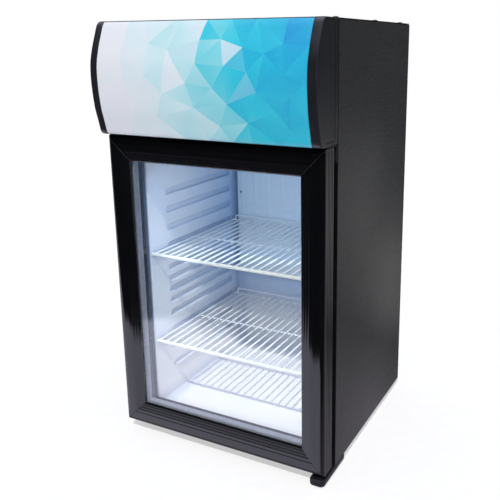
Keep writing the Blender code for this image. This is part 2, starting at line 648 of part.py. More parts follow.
FAN = FAN_X, FAN_Z = 0.1100, 0.6650
fan_axis = empty("fan_axis", (FAN_X, 0.3200, FAN_Z), ORIGIN)

SHROUD_HALF, SHROUD_BORE, SHROUD_POINTS = 0.0700, 0.0600, 24
CORNER_STRETCH = 1.414        # pushes the diagonals of the circle out to the corners


def squared(value):
    """Sine or cosine stretched and clipped so that a circle becomes a square."""
    return math.copysign(min(1.0, abs(value) * CORNER_STRETCH), value)


angles = [2 * math.pi * i / SHROUD_POINTS for i in range(SHROUD_POINTS)]
shroud_outline = [(FAN_X + SHROUD_HALF * squared(math.cos(angle)),
                   FAN_Z + SHROUD_HALF * squared(math.sin(angle))) for angle in angles]
place("fan_shroud", ring(shroud_outline, circle(FAN, SHROUD_BORE, SHROUD_POINTS),
                         "y", (0.3350, 0.3400)), "plastic_black")

BLADE_COUNT, BLADE_TWIST = 5, math.radians(12)
BLADE_FRONT, BLADE_BACK = 0.3130, 0.3230
# outline of one blade and its part of the hub: (fraction of the blade pitch, radius)
BLADE = [(0.00, 0.0170), (0.30, 0.0170), (0.32, 0.0560),
         (0.62, 0.0575), (0.92, 0.0560), (0.98, 0.0170)]
fan = bmesh.new()
fan_loops = []
for y, twist in ((BLADE_FRONT, 0.0), (BLADE_BACK, BLADE_TWIST)):
    turns = [((i + fraction) * 2 * math.pi / BLADE_COUNT + twist, radius)
             for i in range(BLADE_COUNT) for fraction, radius in BLADE]
    fan_loops.append([fan.verts.new((FAN_X + radius * math.cos(angle), y,
                                     FAN_Z + radius * math.sin(angle)))
                      for angle, radius in turns])
bridge(fan, *fan_loops)
for loop in fan_loops:
    fan.faces.new(loop)
bmesh.ops.triangulate(fan, faces=fan.faces[:])
place("fan_blades", fan, "plastic_black", fan_axis)

# motor can in front of the blades, on its own foot: profile of (radius, y)
MOTOR_PROFILE = [(0, 0.2750), (0.0180, 0.2750), (0.0200, 0.2780), (0.0200, 0.3060),
                 (0.0080, 0.3080), (0.0080, 0.3124), (0, 0.3124)]
motor = place("fan_motor", lathe(MOTOR_PROFILE, "y", FAN, 20), "galvanised", smooth=35)
combine(motor, "UNION",
        box(x=span(FAN_X, 0.0080), y=(0.2840, 0.2900), z=(DECK_TOP, FAN_Z)),
        box(x=span(FAN_X, 0.0200), y=(0.2700, 0.3000), z=(DECK_TOP, DECK_TOP + 0.0020)))

# =================================================================== pipes
SUCTION_X, SUCTION_Z = -0.0300, 0.7000
SUCTION_PATH = [
    (SUCTION_X, 0.3500, DECK_TOP + 0.0010), (SUCTION_X, 0.3500, SUCTION_Z),
    (SUCTION_X, 0.2600, SUCTION_Z), (SUCTION_X, COMP_Y, SUCTION_Z),
    (-0.0382, COMP_Y, SUCTION_Z)]
DISCHARGE_PATH = [
    (COMP_X, 0.1416, 0.6560), (COMP_X, 0.1100, 0.6560), (0.0700, 0.1100, 0.6560),
    (0.0200, 0.2000, 0.6900), (0.0200, 0.3600, 0.6900)]
place("suction_pipe", tube(bend(SUCTION_PATH, 0.012), 0.0032), "copper", smooth=50)
place("discharge_pipe", tube(bend(DISCHARGE_PATH, 0.015), 0.0026), "copper", smooth=50)

# =========================================================== rear controls
THERMO_X, THERMO_Z = THERMOSTAT
KNOB_Y = 0.4080               # front face of the knob's grip
thermostat_axis = empty("thermostat_axis", (THERMO_X, KNOB_Y, THERMO_Z), ORIGIN)
place("thermostat_body", box(x=span(THERMO_X, 0.0240), y=(0.3760, 0.4058),
                             z=span(THERMO_Z, 0.0200)), "plastic_black")
# shaft and grip: (radius, y)
KNOB_PROFILE = [(0, 0.4063), (0.0030, 0.4063), (0.0030, KNOB_Y), (0.0170, KNOB_Y),
                (0.0175, 0.4095), (0.0155, 0.4190), (0.0140, 0.4205), (0, 0.4205)]
knob = place("thermostat_knob", lathe(KNOB_PROFILE, "y", THERMOSTAT, 24),
             "plastic_black", thermostat_axis, smooth=30)
# raised bar on the knob's rear face
combine(knob, "UNION", box(x=span(THERMO_X, 0.0016), y=(0.4190, 0.4215),
                           z=(THERMO_Z + 0.0010, THERMO_Z + 0.0138)))

SWITCH_X, SWITCH_Z = SWITCH
BEZEL_X, BEZEL_Z, BEZEL_RIM = 0.0110, 0.0150, 0.0042
place("switch_bezel",
      ring(rect(span(SWITCH_X, BEZEL_X), span(SWITCH_Z, BEZEL_Z)),
           rect(span(SWITCH_X, BEZEL_X - BEZEL_RIM), span(SWITCH_Z, BEZEL_Z - BEZEL_RIM)),
           "y", (CAB_BACK + GAP, 0.4118)), "plastic_black")
switch_axis = empty("switch_axis", (SWITCH_X, 0.4105, SWITCH_Z), ORIGIN)
# (y, z above the switch centre)
ROCKER = [(0.4098, -0.0098), (0.4124, -0.0102), (0.4112, 0.0),
          (0.4124, 0.0102), (0.4098, 0.0098), (0.4092, 0.0)]
place("switch_rocker",
      prism([(y, SWITCH_Z + rise) for y, rise in ROCKER], "x", span(SWITCH_X, 0.0062)),
      "plastic_black", switch_axis)

# =========================================================== cord and plug
CORD_X, CORD_Z = CORD
CORD_Y, CORD_END_Z = 0.4205, 0.3300
PLUG_X = CORD_X + 0.0200
CORD_PATH = [
    (CORD_X, 0.3800, CORD_Z), (CORD_X, CORD_Y, CORD_Z), (CORD_X, CORD_Y, 0.4200),
    (PLUG_X, CORD_Y, 0.3800), (PLUG_X, CORD_Y, CORD_END_Z)]
place("power_cord", tube(bend(CORD_PATH, 0.012, 4), 0.0035), "rubber", smooth=60)

# plug body with two flat pins pointing down
PLUG_TOP = CORD_END_Z - GAP
PLUG_XS = (-0.0150, -0.0095, -0.0040, 0.0040, 0.0095, 0.0150)
PLUG_YS = (-0.0105, -0.0008, 0.0008, 0.0105)
PLUG_DROPS = (0.0500, 0.0330, 0.0)            # pin tips, body underside, body top
place("power_plug", cells(
    [PLUG_X + x for x in PLUG_XS], [CORD_Y + y for y in PLUG_YS],
    [PLUG_TOP - drop for drop in PLUG_DROPS],
    lambda i, j, k: k == 1 or (i in (1, 3) and j == 1)), "rubber")

bpy.context.view_layer.update()
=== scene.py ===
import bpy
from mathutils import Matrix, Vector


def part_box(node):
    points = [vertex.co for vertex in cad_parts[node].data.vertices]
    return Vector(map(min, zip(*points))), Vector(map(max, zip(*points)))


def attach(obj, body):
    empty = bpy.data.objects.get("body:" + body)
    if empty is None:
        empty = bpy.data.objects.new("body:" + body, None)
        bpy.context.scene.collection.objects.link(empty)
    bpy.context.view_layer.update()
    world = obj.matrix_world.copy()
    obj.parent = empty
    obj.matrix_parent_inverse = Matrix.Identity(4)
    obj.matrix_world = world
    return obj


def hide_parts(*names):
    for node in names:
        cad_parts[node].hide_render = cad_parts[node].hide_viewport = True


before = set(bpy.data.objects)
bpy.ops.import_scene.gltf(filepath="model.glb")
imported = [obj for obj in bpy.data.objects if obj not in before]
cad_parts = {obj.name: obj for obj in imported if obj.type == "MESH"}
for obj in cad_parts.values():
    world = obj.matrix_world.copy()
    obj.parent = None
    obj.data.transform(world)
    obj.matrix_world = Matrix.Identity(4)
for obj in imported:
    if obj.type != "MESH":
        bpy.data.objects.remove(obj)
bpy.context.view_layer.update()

import math
import random

import bmesh
import bpy
from mathutils import Matrix, Vector
from mathutils.geometry import delaunay_2d_cdt

# The shapes below are drawn in "door-front" coordinates: y = 0 on the door's front face.
Y0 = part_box("door_frame_top")[0].y
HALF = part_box("door_frame_bottom")[1].x


# =====================================================================
# 1. Materials: every one is a small node tree
# =====================================================================
class Nodes:
    def __init__(self, name):
        self.mat = bpy.data.materials.new(name)
        self.mat.use_nodes = True
        self.nt = self.mat.node_tree
        self.nt.nodes.clear()
        self.out = self.nt.nodes.new("ShaderNodeOutputMaterial")

    def add(self, kind, inputs=None, **props):
        n = self.nt.nodes.new(kind)
        for k, v in props.items():
            setattr(n, k, v)
        for k, v in (inputs or {}).items():
            self.put(n.inputs[k], v)
        return n

    def put(self, socket, v):
        if isinstance(v, bpy.types.NodeSocket):
            self.nt.links.new(v, socket)
        elif isinstance(v, (tuple, list)) and len(v) == 3 and socket.type == "RGBA":
            socket.default_value = (*v, 1.0)
        else:
            socket.default_value = v

    def coords(self, scale=(1, 1, 1), rot=(0, 0, 0)):
        tc = self.add("ShaderNodeTexCoord")
        mp = self.add("ShaderNodeMapping", {"Vector": tc.outputs["Object"], "Scale": scale, "Rotation": rot})
        return mp.outputs["Vector"]

    def noise(self, scale, detail=3.0, rough=0.55, stretch=(1, 1, 1), distort=0.0):
        n = self.add("ShaderNodeTexNoise", {"Vector": self.coords(stretch), "Scale": scale, "Detail": detail,
                                            "Roughness": rough, "Distortion": distort})
        return n.outputs["Fac"]

    def voronoi(self, scale, feature="F1", stretch=(1, 1, 1), output="Distance"):
        n = self.add("ShaderNodeTexVoronoi", {"Vector": self.coords(stretch), "Scale": scale}, feature=feature)
        return n.outputs[output]

    def ramp(self, fac, stops, mode="LINEAR"):
        n = self.add("ShaderNodeValToRGB", {"Fac": fac})
        n.color_ramp.interpolation = mode
        el = n.color_ramp.elements
        while len(el) < len(stops):
            el.new(0.5)
        for e, (p, c) in zip(el, stops):
            e.position = p
            e.color = (*c, 1.0) if isinstance(c, (tuple, list)) else (c, c, c, 1.0)
        return n.outputs["Color"]

    def remap(self, v, a, b, c, d):
        n = self.add("ShaderNodeMapRange", {"Value": v, "From Min": a, "From Max": b, "To Min": c, "To Max": d})
        return n.outputs["Result"]

    def math(self, op, a, b=None, c=None, clamp=False):
        n = self.add("ShaderNodeMath", operation=op, use_clamp=clamp)
        for i, v in enumerate((a, b, c)):
            if v is not None:
                self.put(n.inputs[i], v)
        return n.outputs[0]

    def mix(self, fac, a, b, blend="MIX"):
        n = self.add("ShaderNodeMix", data_type="RGBA", blend_type=blend)
        self.put(n.inputs["Factor"], fac)
        self.put(n.inputs[6], a)
        self.put(n.inputs[7], b)
        return n.outputs[2]

    def bump(self, height, strength, distance, under=None):
        n = self.add("ShaderNodeBump", {"Height": height, "Strength": strength, "Distance": distance})
        if under is not None:
            self.put(n.inputs["Normal"], under)
        return n.outputs["Normal"]

    def principled(self, **kw):
        n = self.add("ShaderNodeBsdfPrincipled")
        for k, v in kw.items():
            self.put(n.inputs[k.replace("_", " ")], v)
        self.nt.links.new(n.outputs[0], self.out.inputs["Surface"])
        return n


def brushed_black():
    """Pre-coated sheet steel: charcoal with a fine horizontal brushed grain and a slow cloudy variation; its front edge
    is painted near-black as painted shade for the gap behind the door.
    """
    m = Nodes("painted_black_sheet")
    fine = m.noise(90, 4, 0.65, (0.16, 0.16, 26))
    fine2 = m.noise(300, 2, 0.5, (0.12, 0.12, 14))
    cloud = m.noise(7, 3, 0.5)
    specks = m.noise(900, 2, 0.6)
    grain = m.math("ADD", m.math("MULTIPLY", fine, 0.6), m.math("MULTIPLY", fine2, 0.4))
    tone = m.ramp(grain, [(0.36, (0.0160, 0.0163, 0.0172)), (0.5, (0.0240, 0.0242, 0.0248)), (0.66, (0.0390, 0.0390, 0.0392))])
    tone = m.mix(m.remap(cloud, 0.35, 0.7, 0.0, 0.30), tone, (0.0260, 0.0256, 0.0245))
    pos = m.add("ShaderNodeSeparateXYZ", {0: m.add("ShaderNodeTexCoord").outputs["Object"]})
    # painted shade: the first 0.9 mm of the sheet behind its front edge is painted near-black, standing in for the
    # shadow in the gap between door and cabinet
    tone = m.mix(m.math("MULTIPLY", m.math("LESS_THAN", pos.outputs["Y"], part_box("side_panel_right")[0].y + 0.0009), 0.93), tone, (0.001, 0.001, 0.001))
    rough = m.math("ADD", m.remap(grain, 0.3, 0.7, 0.24, 0.34), m.remap(specks, 0.4, 0.6, -0.02, 0.02))
    nrm = m.bump(grain, 0.12, 0.00030)
    m.principled(Base_Color=tone, Roughness=rough, Normal=nrm, Specular_IOR_Level=0.36)
    return m.mat


def plain_paint(name, dark, light, r0, r1, bump=0.18):
    """Powder-coated or lacquered sheet: soft orange peel over slow tone variation."""
    m = Nodes(name)
    cloud = m.noise(9, 4, 0.6)
    peel = m.voronoi(900, "SMOOTH_F1")
    fine = m.noise(420, 3, 0.6)
    tone = m.ramp(cloud, [(0.3, dark), (0.7, light)])
    tone = m.mix(m.remap(fine, 0.35, 0.75, 0.0, 0.22), tone, tuple(min(1, c * 1.5 + 0.004) for c in light))
    m.principled(Base_Color=tone, Roughness=m.remap(fine, 0.3, 0.7, r0, r1), Normal=m.bump(peel, bump, 0.0003))
    return m.mat


def gloss_pvc(x1, z0, z1):
    """Extruded gloss PVC of the door frame: near-black, light scuffs, and a painted highlight: a fine paler line along
    each mitre joint.
    """
    m = Nodes("pvc_gloss_black")
    pos = m.add("ShaderNodeSeparateXYZ", {0: m.add("ShaderNodeTexCoord").outputs["Object"]})
    side = m.math("SUBTRACT", x1, m.math("ABSOLUTE", pos.outputs["X"]))
    top = m.math("ABSOLUTE", m.math("SUBTRACT", side, m.math("SUBTRACT", z1, pos.outputs["Z"])))
    low = m.math("ABSOLUTE", m.math("SUBTRACT", side, m.math("SUBTRACT", pos.outputs["Z"], z0)))
    mitre_highlight = m.math("LESS_THAN", m.math("MINIMUM", top, low), 0.0009)
    slow = m.noise(16, 2, 0.5)
    fine = m.noise(260, 3, 0.6)
    scuff = m.ramp(m.noise(26, 6, 0.72, (1, 1, 1), 0.6), [(0.60, 0.0), (0.80, 1.0)])
    tone = m.mix(m.math("MULTIPLY", scuff, 0.18), (0.0022, 0.0023, 0.0028), (0.010, 0.010, 0.012))
    # painted highlight: a paler line along each mitre joint, standing in for the light the joint catches
    tone = m.mix(mitre_highlight, tone, (0.022, 0.023, 0.026))
    rough = m.math("ADD", m.remap(fine, 0.3, 0.7, 0.05, 0.11), m.math("MULTIPLY", scuff, 0.05))
    nrm = m.bump(slow, 0.035, 0.0030)
    turn = m.add("ShaderNodeSeparateXYZ", {0: m.add("ShaderNodeTexCoord").outputs["Normal"]})
    m.principled(Base_Color=tone, Roughness=rough, Normal=m.bump(fine, 0.02, 0.0002, nrm),
                 Specular_IOR_Level=m.math("MULTIPLY", m.remap(m.math("ABSOLUTE", turn.outputs["X"]), 0.7, 0.95, 0.5, 0.92),
                                           m.remap(turn.outputs["Z"], 0.09, 0.35, 1.0, 0.08)))
    return m.mat


def moulded(name, dark, light, r0, r1, grain=1500, strength=0.25, gloss=0.5):
    """Injection-moulded plastic with a fine spark-eroded texture."""
    m = Nodes(name)
    cells = m.voronoi(grain, "F1")
    slow = m.noise(14, 4, 0.6)
    fine = m.noise(grain * 0.6, 2, 0.6)
    tone = m.ramp(slow, [(0.32, dark), (0.68, light)])
    m.principled(Base_Color=tone, Roughness=m.remap(fine, 0.3, 0.7, r0, r1),
                 Normal=m.bump(m.math("ADD", cells, m.math("MULTIPLY", fine, 0.6)), strength, 0.00018),
                 Specular_IOR_Level=gloss)
    return m.mat


def white_liner():
    """Vacuum-formed white polystyrene: semi-gloss, slightly cool, with a faint flow and handling marks, plus painted
    shade: bluish darkening towards the back and top, and in corners and groove edges.
    """
    m = Nodes("liner_white")
    slow = m.noise(5, 4, 0.55)
    flow = m.noise(30, 3, 0.6, (1, 1, 4))
    peel = m.voronoi(420, "SMOOTH_F1")
    tone = m.ramp(slow, [(0.3, (0.850, 0.824, 0.836)), (0.7, (0.900, 0.868, 0.874))])
    tone = m.mix(m.remap(flow, 0.55, 0.8, 0.0, 0.10), tone, (0.70, 0.74, 0.80))
    pos = m.add("ShaderNodeSeparateXYZ", {0: m.add("ShaderNodeTexCoord").outputs["Object"]})
    # painted shade: the liner turns blue and darker towards the back and upward, standing in for the cool shade deep in
    # the cabinet
    deep = m.math("MULTIPLY", m.remap(pos.outputs["Y"], Y0 + 0.16, Y0 + 0.37, 0.0, 0.9), m.remap(pos.outputs["Z"], 0.13, 0.26, 0.0, 1.0))
    tone = m.mix(deep, tone, (0.43, 0.62, 0.86))
    # painted shade: an ambient-occlusion mask darkens corners, groove edges and the rear corner towards blue
    near = m.add("ShaderNodeAmbientOcclusion", {"Distance": 0.030}, samples=6)
    shade = m.math("POWER", near.outputs["AO"], 1.4)
    tone = m.mix(shade, (0.30, 0.40, 0.60), tone)
    m.principled(Base_Color=tone, Roughness=m.remap(flow, 0.3, 0.7, 0.26, 0.38), Normal=m.bump(peel, 0.05, 0.0004))
    return m.mat


def evaporator_paint():
    """Lacquered roll-bond aluminium: pale blue-grey with fine rolling lines."""
    m = Nodes("evaporator_plate_finish")
    lines = m.noise(70, 4, 0.7, (22, 1, 0.5))
    slow = m.noise(6, 4, 0.6)
    tone = m.ramp(lines, [(0.34, (0.74, 0.83, 0.88)), (0.52, (0.83, 0.90, 0.94)), (0.7, (0.88, 0.94, 0.97))])
    tone = m.mix(m.remap(slow, 0.35, 0.7, 0.0, 0.30), tone, (0.72, 0.84, 0.90))
    # painted shade: the punched fixing hole and a thin ring around its rim are painted dark blue-black, standing in for
    # the shadow inside the hole
    pos = m.add("ShaderNodeSeparateXYZ", {0: m.add("ShaderNodeTexCoord").outputs["Object"]})
    dx, dz = m.math("SUBTRACT", pos.outputs["X"], -0.1565), m.math("SUBTRACT", pos.outputs["Z"], 0.4205)
    away = m.math("SQRT", m.math("ADD", m.math("MULTIPLY", dx, dx), m.math("MULTIPLY", dz, dz)))
    tone = m.mix(m.remap(away, 0.0028, 0.0031, 1.0, 0.0), tone, (0.035, 0.050, 0.085))
    m.principled(Base_Color=tone, Metallic=0.05, Roughness=m.remap(lines, 0.3, 0.7, 0.34, 0.48), Normal=m.bump(lines, 0.12, 0.0003))
    return m.mat


def wire_coat():
    """Dipped white coating on the shelf wires: thick, glossy, slightly uneven."""
    m = Nodes("wire_white")
    blobs = m.noise(160, 3, 0.6)
    slow = m.noise(18, 3, 0.5)
    tone = m.ramp(slow, [(0.3, (0.90, 0.90, 0.90)), (0.7, (0.96, 0.96, 0.955))])
    m.principled(Base_Color=tone, Roughness=m.remap(blobs, 0.3, 0.7, 0.20, 0.34), Normal=m.bump(blobs, 0.25, 0.0006), Coat_Weight=0.2)
    return m.mat


def rolled_metal(name, dark, light, r0, r1, stretch=(1, 1, 14), scale=60, metal=1.0, flakes=False):
    m = Nodes(name)
    lines = m.noise(scale, 4, 0.65, stretch)
    fac = m.voronoi(90, "F1", output="Color") if flakes else lines
    if flakes:
        fac = m.math("ADD", m.math("MULTIPLY", m.add("ShaderNodeRGBToBW", {"Color": fac}).outputs[0], 0.6), m.math("MULTIPLY", lines, 0.4))
    tone = m.ramp(fac, [(0.25, dark), (0.75, light)])
    m.principled(Base_Color=tone, Metallic=metal, Roughness=m.remap(fac, 0.2, 0.8, r0, r1), Normal=m.bump(lines, 0.10, 0.0003))
    return m.mat


def thin_glass(name, tint, r):
    """A flat pane that does not bend the view: Schlick mirror over a clear, faintly tinted sheet."""
    m = Nodes(name)
    geo = m.add("ShaderNodeNewGeometry")
    dot = m.add("ShaderNodeVectorMath", {0: geo.outputs["Normal"], 1: geo.outputs["Incoming"]}, operation="DOT_PRODUCT")
    facing = m.math("ABSOLUTE", dot.outputs["Value"])
    inv = m.math("SUBTRACT", 1.0, facing, clamp=True)
    share = m.math("MULTIPLY_ADD", m.math("POWER", inv, 5.0), 0.94, 0.052, clamp=True)
    smear = m.noise(9, 5, 0.7, (1, 1, 1), 0.8)
    film = m.ramp(smear, [(0.45, 0.0), (0.85, 1.0)])
    clear = m.add("ShaderNodeBsdfTransparent", {"Color": m.mix(m.math("MULTIPLY", film, 0.25), tint, tuple(c * 0.97 for c in tint))})
    shine = m.add("ShaderNodeBsdfGlossy", {"Color": (1, 1, 1), "Roughness": m.remap(film, 0, 1, r, r + 0.05)})
    mix = m.add("ShaderNodeMixShader", {0: share, 1: clear.outputs[0], 2: shine.outputs[0]})
    m.nt.links.new(mix.outputs[0], m.out.inputs["Surface"])
    return m.mat


def canopy_print():
    """Printed acrylic: each facet carries its own place on a left-to-right colour run, with a slow wash over it."""
    m = Nodes("canopy_print")
    at = m.add("ShaderNodeAttribute", attribute_name="facet")
    wash = m.noise(7, 3, 0.5)
    dots = m.noise(700, 2, 0.6)
    fac = m.math("ADD", at.outputs["Fac"], m.remap(wash, 0.3, 0.7, -0.035, 0.035))
    tone = m.ramp(fac, [(0.00, (0.550, 0.545, 0.590)), (0.12, (0.550, 0.565, 0.602)), (0.30, (0.425, 0.565, 0.602)),
                        (0.44, (0.285, 0.520, 0.570)), (0.58, (0.105, 0.450, 0.525)), (0.70, (0.016, 0.395, 0.520)),
                        (0.86, (0.008, 0.315, 0.490)), (1.00, (0.004, 0.195, 0.455))])
    bright = m.add("ShaderNodeAttribute", attribute_name="paper")
    tone = m.mix(bright.outputs["Fac"], tone, (0.570, 0.580, 0.625))
    tone = m.mix(m.remap(dots, 0.3, 0.7, 0.0, 0.03), tone, (0.7, 0.75, 0.8))
    geo = m.add("ShaderNodeNewGeometry")
    m.principled(Base_Color=tone, Roughness=m.remap(dots, 0.3, 0.7, 0.20, 0.27), Normal=m.bump(wash, 0.03, 0.001),
                 Specular_IOR_Level=0.4, Emission_Color=tone, Emission_Strength=0.03)
    return m.mat


def rubber(name, r=0.80, dark=(0.014, 0.014, 0.015), light=(0.026, 0.026, 0.027)):
    m = Nodes(name)
    fine = m.noise(380, 4, 0.7)
    dust = m.ramp(m.noise(40, 5, 0.7), [(0.52, 0.0), (0.8, 1.0)])
    tone = m.mix(m.math("MULTIPLY", dust, 0.25), m.ramp(fine, [(0.3, dark), (0.7, light)]), (0.075, 0.074, 0.072))
    m.principled(Base_Color=tone, Roughness=m.remap(fine, 0.3, 0.7, r - 0.1, r), Normal=m.bump(fine, 0.3, 0.0004))
    return m.mat


def gasket_mat():
    """Co-extruded gasket: black outside, painted darker still as painted shade for the gap behind the door, and a grey
    inner lip towards the cold space.
    """
    m = Nodes("gasket_grey")
    lo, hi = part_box("door_gasket")
    pos = m.add("ShaderNodeSeparateXYZ", {0: m.add("ShaderNodeTexCoord").outputs["Object"]})
    inner = m.math("MULTIPLY", m.math("LESS_THAN", m.math("ABSOLUTE", pos.outputs["X"]), hi.x - 0.0165),
                   m.math("LESS_THAN", m.math("ABSOLUTE", m.math("SUBTRACT", pos.outputs["Z"], (lo.z + hi.z) / 2)), (hi.z - lo.z) / 2 - 0.0130))
    fine = m.noise(380, 4, 0.7)
    # the black outside is painted darker than plain black rubber: painted shade for the gap between door and cabinet
    tone = m.mix(inner, m.ramp(fine, [(0.3, (0.003, 0.003, 0.004)), (0.7, (0.007, 0.007, 0.008))]),
                 m.ramp(fine, [(0.3, (0.085, 0.090, 0.120)), (0.7, (0.125, 0.130, 0.165))]))
    m.principled(Base_Color=tone, Roughness=m.remap(fine, 0.3, 0.7, 0.55, 0.66), Normal=m.bump(fine, 0.3, 0.0004))
    return m.mat


def foam_mat():
    m = Nodes("foam_cut_face")
    cells = m.voronoi(420, "F1")
    slow = m.noise(12, 4, 0.6)
    tone = m.ramp(slow, [(0.3, (0.70, 0.62, 0.40)), (0.7, (0.85, 0.79, 0.60))])
    m.principled(Base_Color=tone, Roughness=0.9, Normal=m.bump(cells, 0.6, 0.0008))
    return m.mat


def lens_mat():
    m = Nodes("opal_lens")
    ribs = m.noise(90, 2, 0.5, (6, 1, 1))
    tone = m.ramp(ribs, [(0.3, (0.80, 0.84, 0.88)), (0.7, (0.93, 0.95, 0.96))])
    m.principled(Base_Color=tone, Roughness=m.remap(ribs, 0.3, 0.7, 0.22, 0.36), Normal=m.bump(ribs, 0.15, 0.0004),
                 Subsurface_Weight=0.15, Subsurface_Radius=(0.01, 0.01, 0.01))
    return m.mat


def back_mat(knob):
    """Back sheet: matt black paint, with a printed scale of ticks around the temperature knob."""
    m = Nodes("back_sheet_black")
    slow = m.noise(8, 4, 0.6)
    fine = m.noise(420, 3, 0.6)
    tone = m.ramp(slow, [(0.3, (0.024, 0.025, 0.027)), (0.7, (0.044, 0.045, 0.047))])
    pos = m.add("ShaderNodeSeparateXYZ", {0: m.add("ShaderNodeTexCoord").outputs["Object"]})
    dx = m.math("SUBTRACT", pos.outputs["X"], knob[0])
    dz = m.math("SUBTRACT", pos.outputs["Z"], knob[2])
    rad = m.math("SQRT", m.math("ADD", m.math("MULTIPLY", dx, dx), m.math("MULTIPLY", dz, dz)))
    ang = m.math("ARCTAN2", dx, dz)
    ring = m.math("MULTIPLY", m.math("GREATER_THAN", rad, 0.0195), m.math("LESS_THAN", rad, 0.0240))
    step = math.radians(30)
    near = m.math("ABSOLUTE", m.math("SUBTRACT", m.math("MODULO", m.math("ADD", ang, 20 * step + step / 2), step), step / 2))
    tick = m.math("LESS_THAN", m.math("MULTIPLY", near, rad), 0.00055)
    top = m.math("LESS_THAN", m.math("ABSOLUTE", ang), math.radians(136))
    mark = m.math("MULTIPLY", m.math("MULTIPLY", ring, tick), top)
    tone = m.mix(mark, tone, (0.75, 0.76, 0.77))
    m.principled(Base_Color=tone, Roughness=m.remap(fine, 0.3, 0.7, 0.48, 0.62), Normal=m.bump(fine, 0.14, 0.0003))
    return m.mat


MAT = {
    "sheet": brushed_black(),
    "paint": plain_paint("painted_black_parts", (0.010, 0.010, 0.011), (0.019, 0.019, 0.020), 0.34, 0.46),
    # painted shade: the front sheet is painted darker than the other black parts, so that the shaded gap around the
    # door reads black
    "front": plain_paint("painted_shade_black_front", (0.0020, 0.0020, 0.0024), (0.0040, 0.0040, 0.0044), 0.42, 0.55),
    "pvc": gloss_pvc(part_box("door_frame_top")[1].x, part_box("door_frame_bottom")[0].z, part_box("door_frame_top")[1].z),
    "cap": moulded("canopy_cap_plastic", (0.0075, 0.0080, 0.0110), (0.0120, 0.0126, 0.0165), 0.27, 0.34, 1300, 0.05, 0.60),
    "gloss": moulded("gloss_black_plastic", (0.0055, 0.0055, 0.0085), (0.0095, 0.0095, 0.0135), 0.10, 0.17, 900, 0.05, 0.35),
    "plastic": moulded("matt_black_plastic", (0.014, 0.014, 0.015), (0.024, 0.024, 0.026), 0.40, 0.55, 1400, 0.30),
    "liner": white_liner(),
    "evap": evaporator_paint(),
    "wire": wire_coat(),
    "glass": thin_glass("pane_glass", (0.985, 0.995, 0.992), 0.004),
    "spacer": rolled_metal("spacer_aluminium", (0.27, 0.29, 0.36), (0.40, 0.425, 0.50), 0.34, 0.48, (1, 1, 1), 120, 0.35),
    "seal": rubber("edge_sealant", 0.55, (0.008, 0.008, 0.009), (0.014, 0.014, 0.015)),
    "gasket": gasket_mat(),
    "rubber": rubber("rubber_black"),
    "galv": rolled_metal("galvanised_steel", (0.42, 0.44, 0.46), (0.64, 0.66, 0.68), 0.32, 0.52, flakes=True),
    "steel": rolled_metal("bright_steel", (0.48, 0.49, 0.51), (0.66, 0.67, 0.69), 0.22, 0.34, (14, 14, 1)),
    "screw": rolled_metal("black_zinc", (0.030, 0.030, 0.034), (0.075, 0.075, 0.080), 0.28, 0.44, (1, 1, 1), 300),
    "copper": rolled_metal("drawn_copper", (0.52, 0.25, 0.14), (0.76, 0.44, 0.28), 0.22, 0.42, (1, 1, 1), 70),
    "fins": rolled_metal("fin_aluminium", (0.52, 0.53, 0.55), (0.72, 0.73, 0.75), 0.30, 0.45, (20, 1, 1)),
    "shell": plain_paint("compressor_lacquer", (0.010, 0.010, 0.011), (0.018, 0.018, 0.019), 0.22, 0.34, 0.12),
    "nylon": moulded("natural_nylon", (0.66, 0.65, 0.60), (0.78, 0.77, 0.73), 0.36, 0.50, 900, 0.15),
    "foam": foam_mat(),
    "lens": lens_mat(),
    "print": canopy_print(),
    "back": back_mat(((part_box("thermostat_knob")[0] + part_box("thermostat_knob")[1]) / 2)),
}


# =====================================================================
# 2. Mesh helpers
# =====================================================================
def at(axis, a, p, q):
    return {"x": (a, p, q), "y": (p, a, q), "z": (p, q, a)}[axis]


def loop(bm, axis, a, outline):
    return [bm.verts.new(at(axis, a, p, q)) for p, q in outline]


def strip(bm, a, b, closed=True):
    n = len(a)
    for i in range(n if closed else n - 1):
        j = (i + 1) % n
        bm.faces.new((a[i], a[j], b[j], b[i]))


def stack(axis, rows, caps=True, bm=None):
    """Closed solid through a row of (position, outline) sections with equal point counts."""
    bm = bm or bmesh.new()
    loops = [loop(bm, axis, a, o) for a, o in rows]
    for a, b in zip(loops, loops[1:]):
        strip(bm, a, b)
    if caps:
        bm.faces.new(loops[0])
        bm.faces.new(loops[-1])
    return bm


def prism(outline, axis, a0, a1, bm=None):
    return stack(axis, [(a0, outline), (a1, outline)], True, bm)


def softbox(x0, x1, y0, y1, z0, z1, width=0.0004, segments=2):
    bm = prism([(x0, y0), (x1, y0), (x1, y1), (x0, y1)], "z", z0, z1)
    soften(bm, width, segments)
    return bm


def soften(bm, width, segments=2, angle=30):
    bmesh.ops.recalc_face_normals(bm, faces=bm.faces[:])
    edges = [e for e in bm.edges if len(e.link_faces) == 2 and e.calc_face_angle(0.0) > math.radians(angle)]
    bmesh.ops.bevel(bm, geom=edges, offset=width, offset_type="OFFSET", segments=segments, profile=0.5,
                    affect="EDGES", clamp_overlap=True)
    return bm


def rounded(p0, p1, q0, q1, r, steps=6):
    pts = []
    for cp, cq, start in ((p1 - r, q0 + r, -90), (p1 - r, q1 - r, 0), (p0 + r, q1 - r, 90), (p0 + r, q0 + r, 180)):
        for s in range(steps + 1):
            t = math.radians(start + 90 * s / steps)
            pts.append((cp + r * math.cos(t), cq + r * math.sin(t)))
    return pts


def circle(cp, cq, r, n, phase=0.0):
    return [(cp + r * math.cos(phase + 2 * math.pi * i / n), cq + r * math.sin(phase + 2 * math.pi * i / n))
            for i in range(n)]


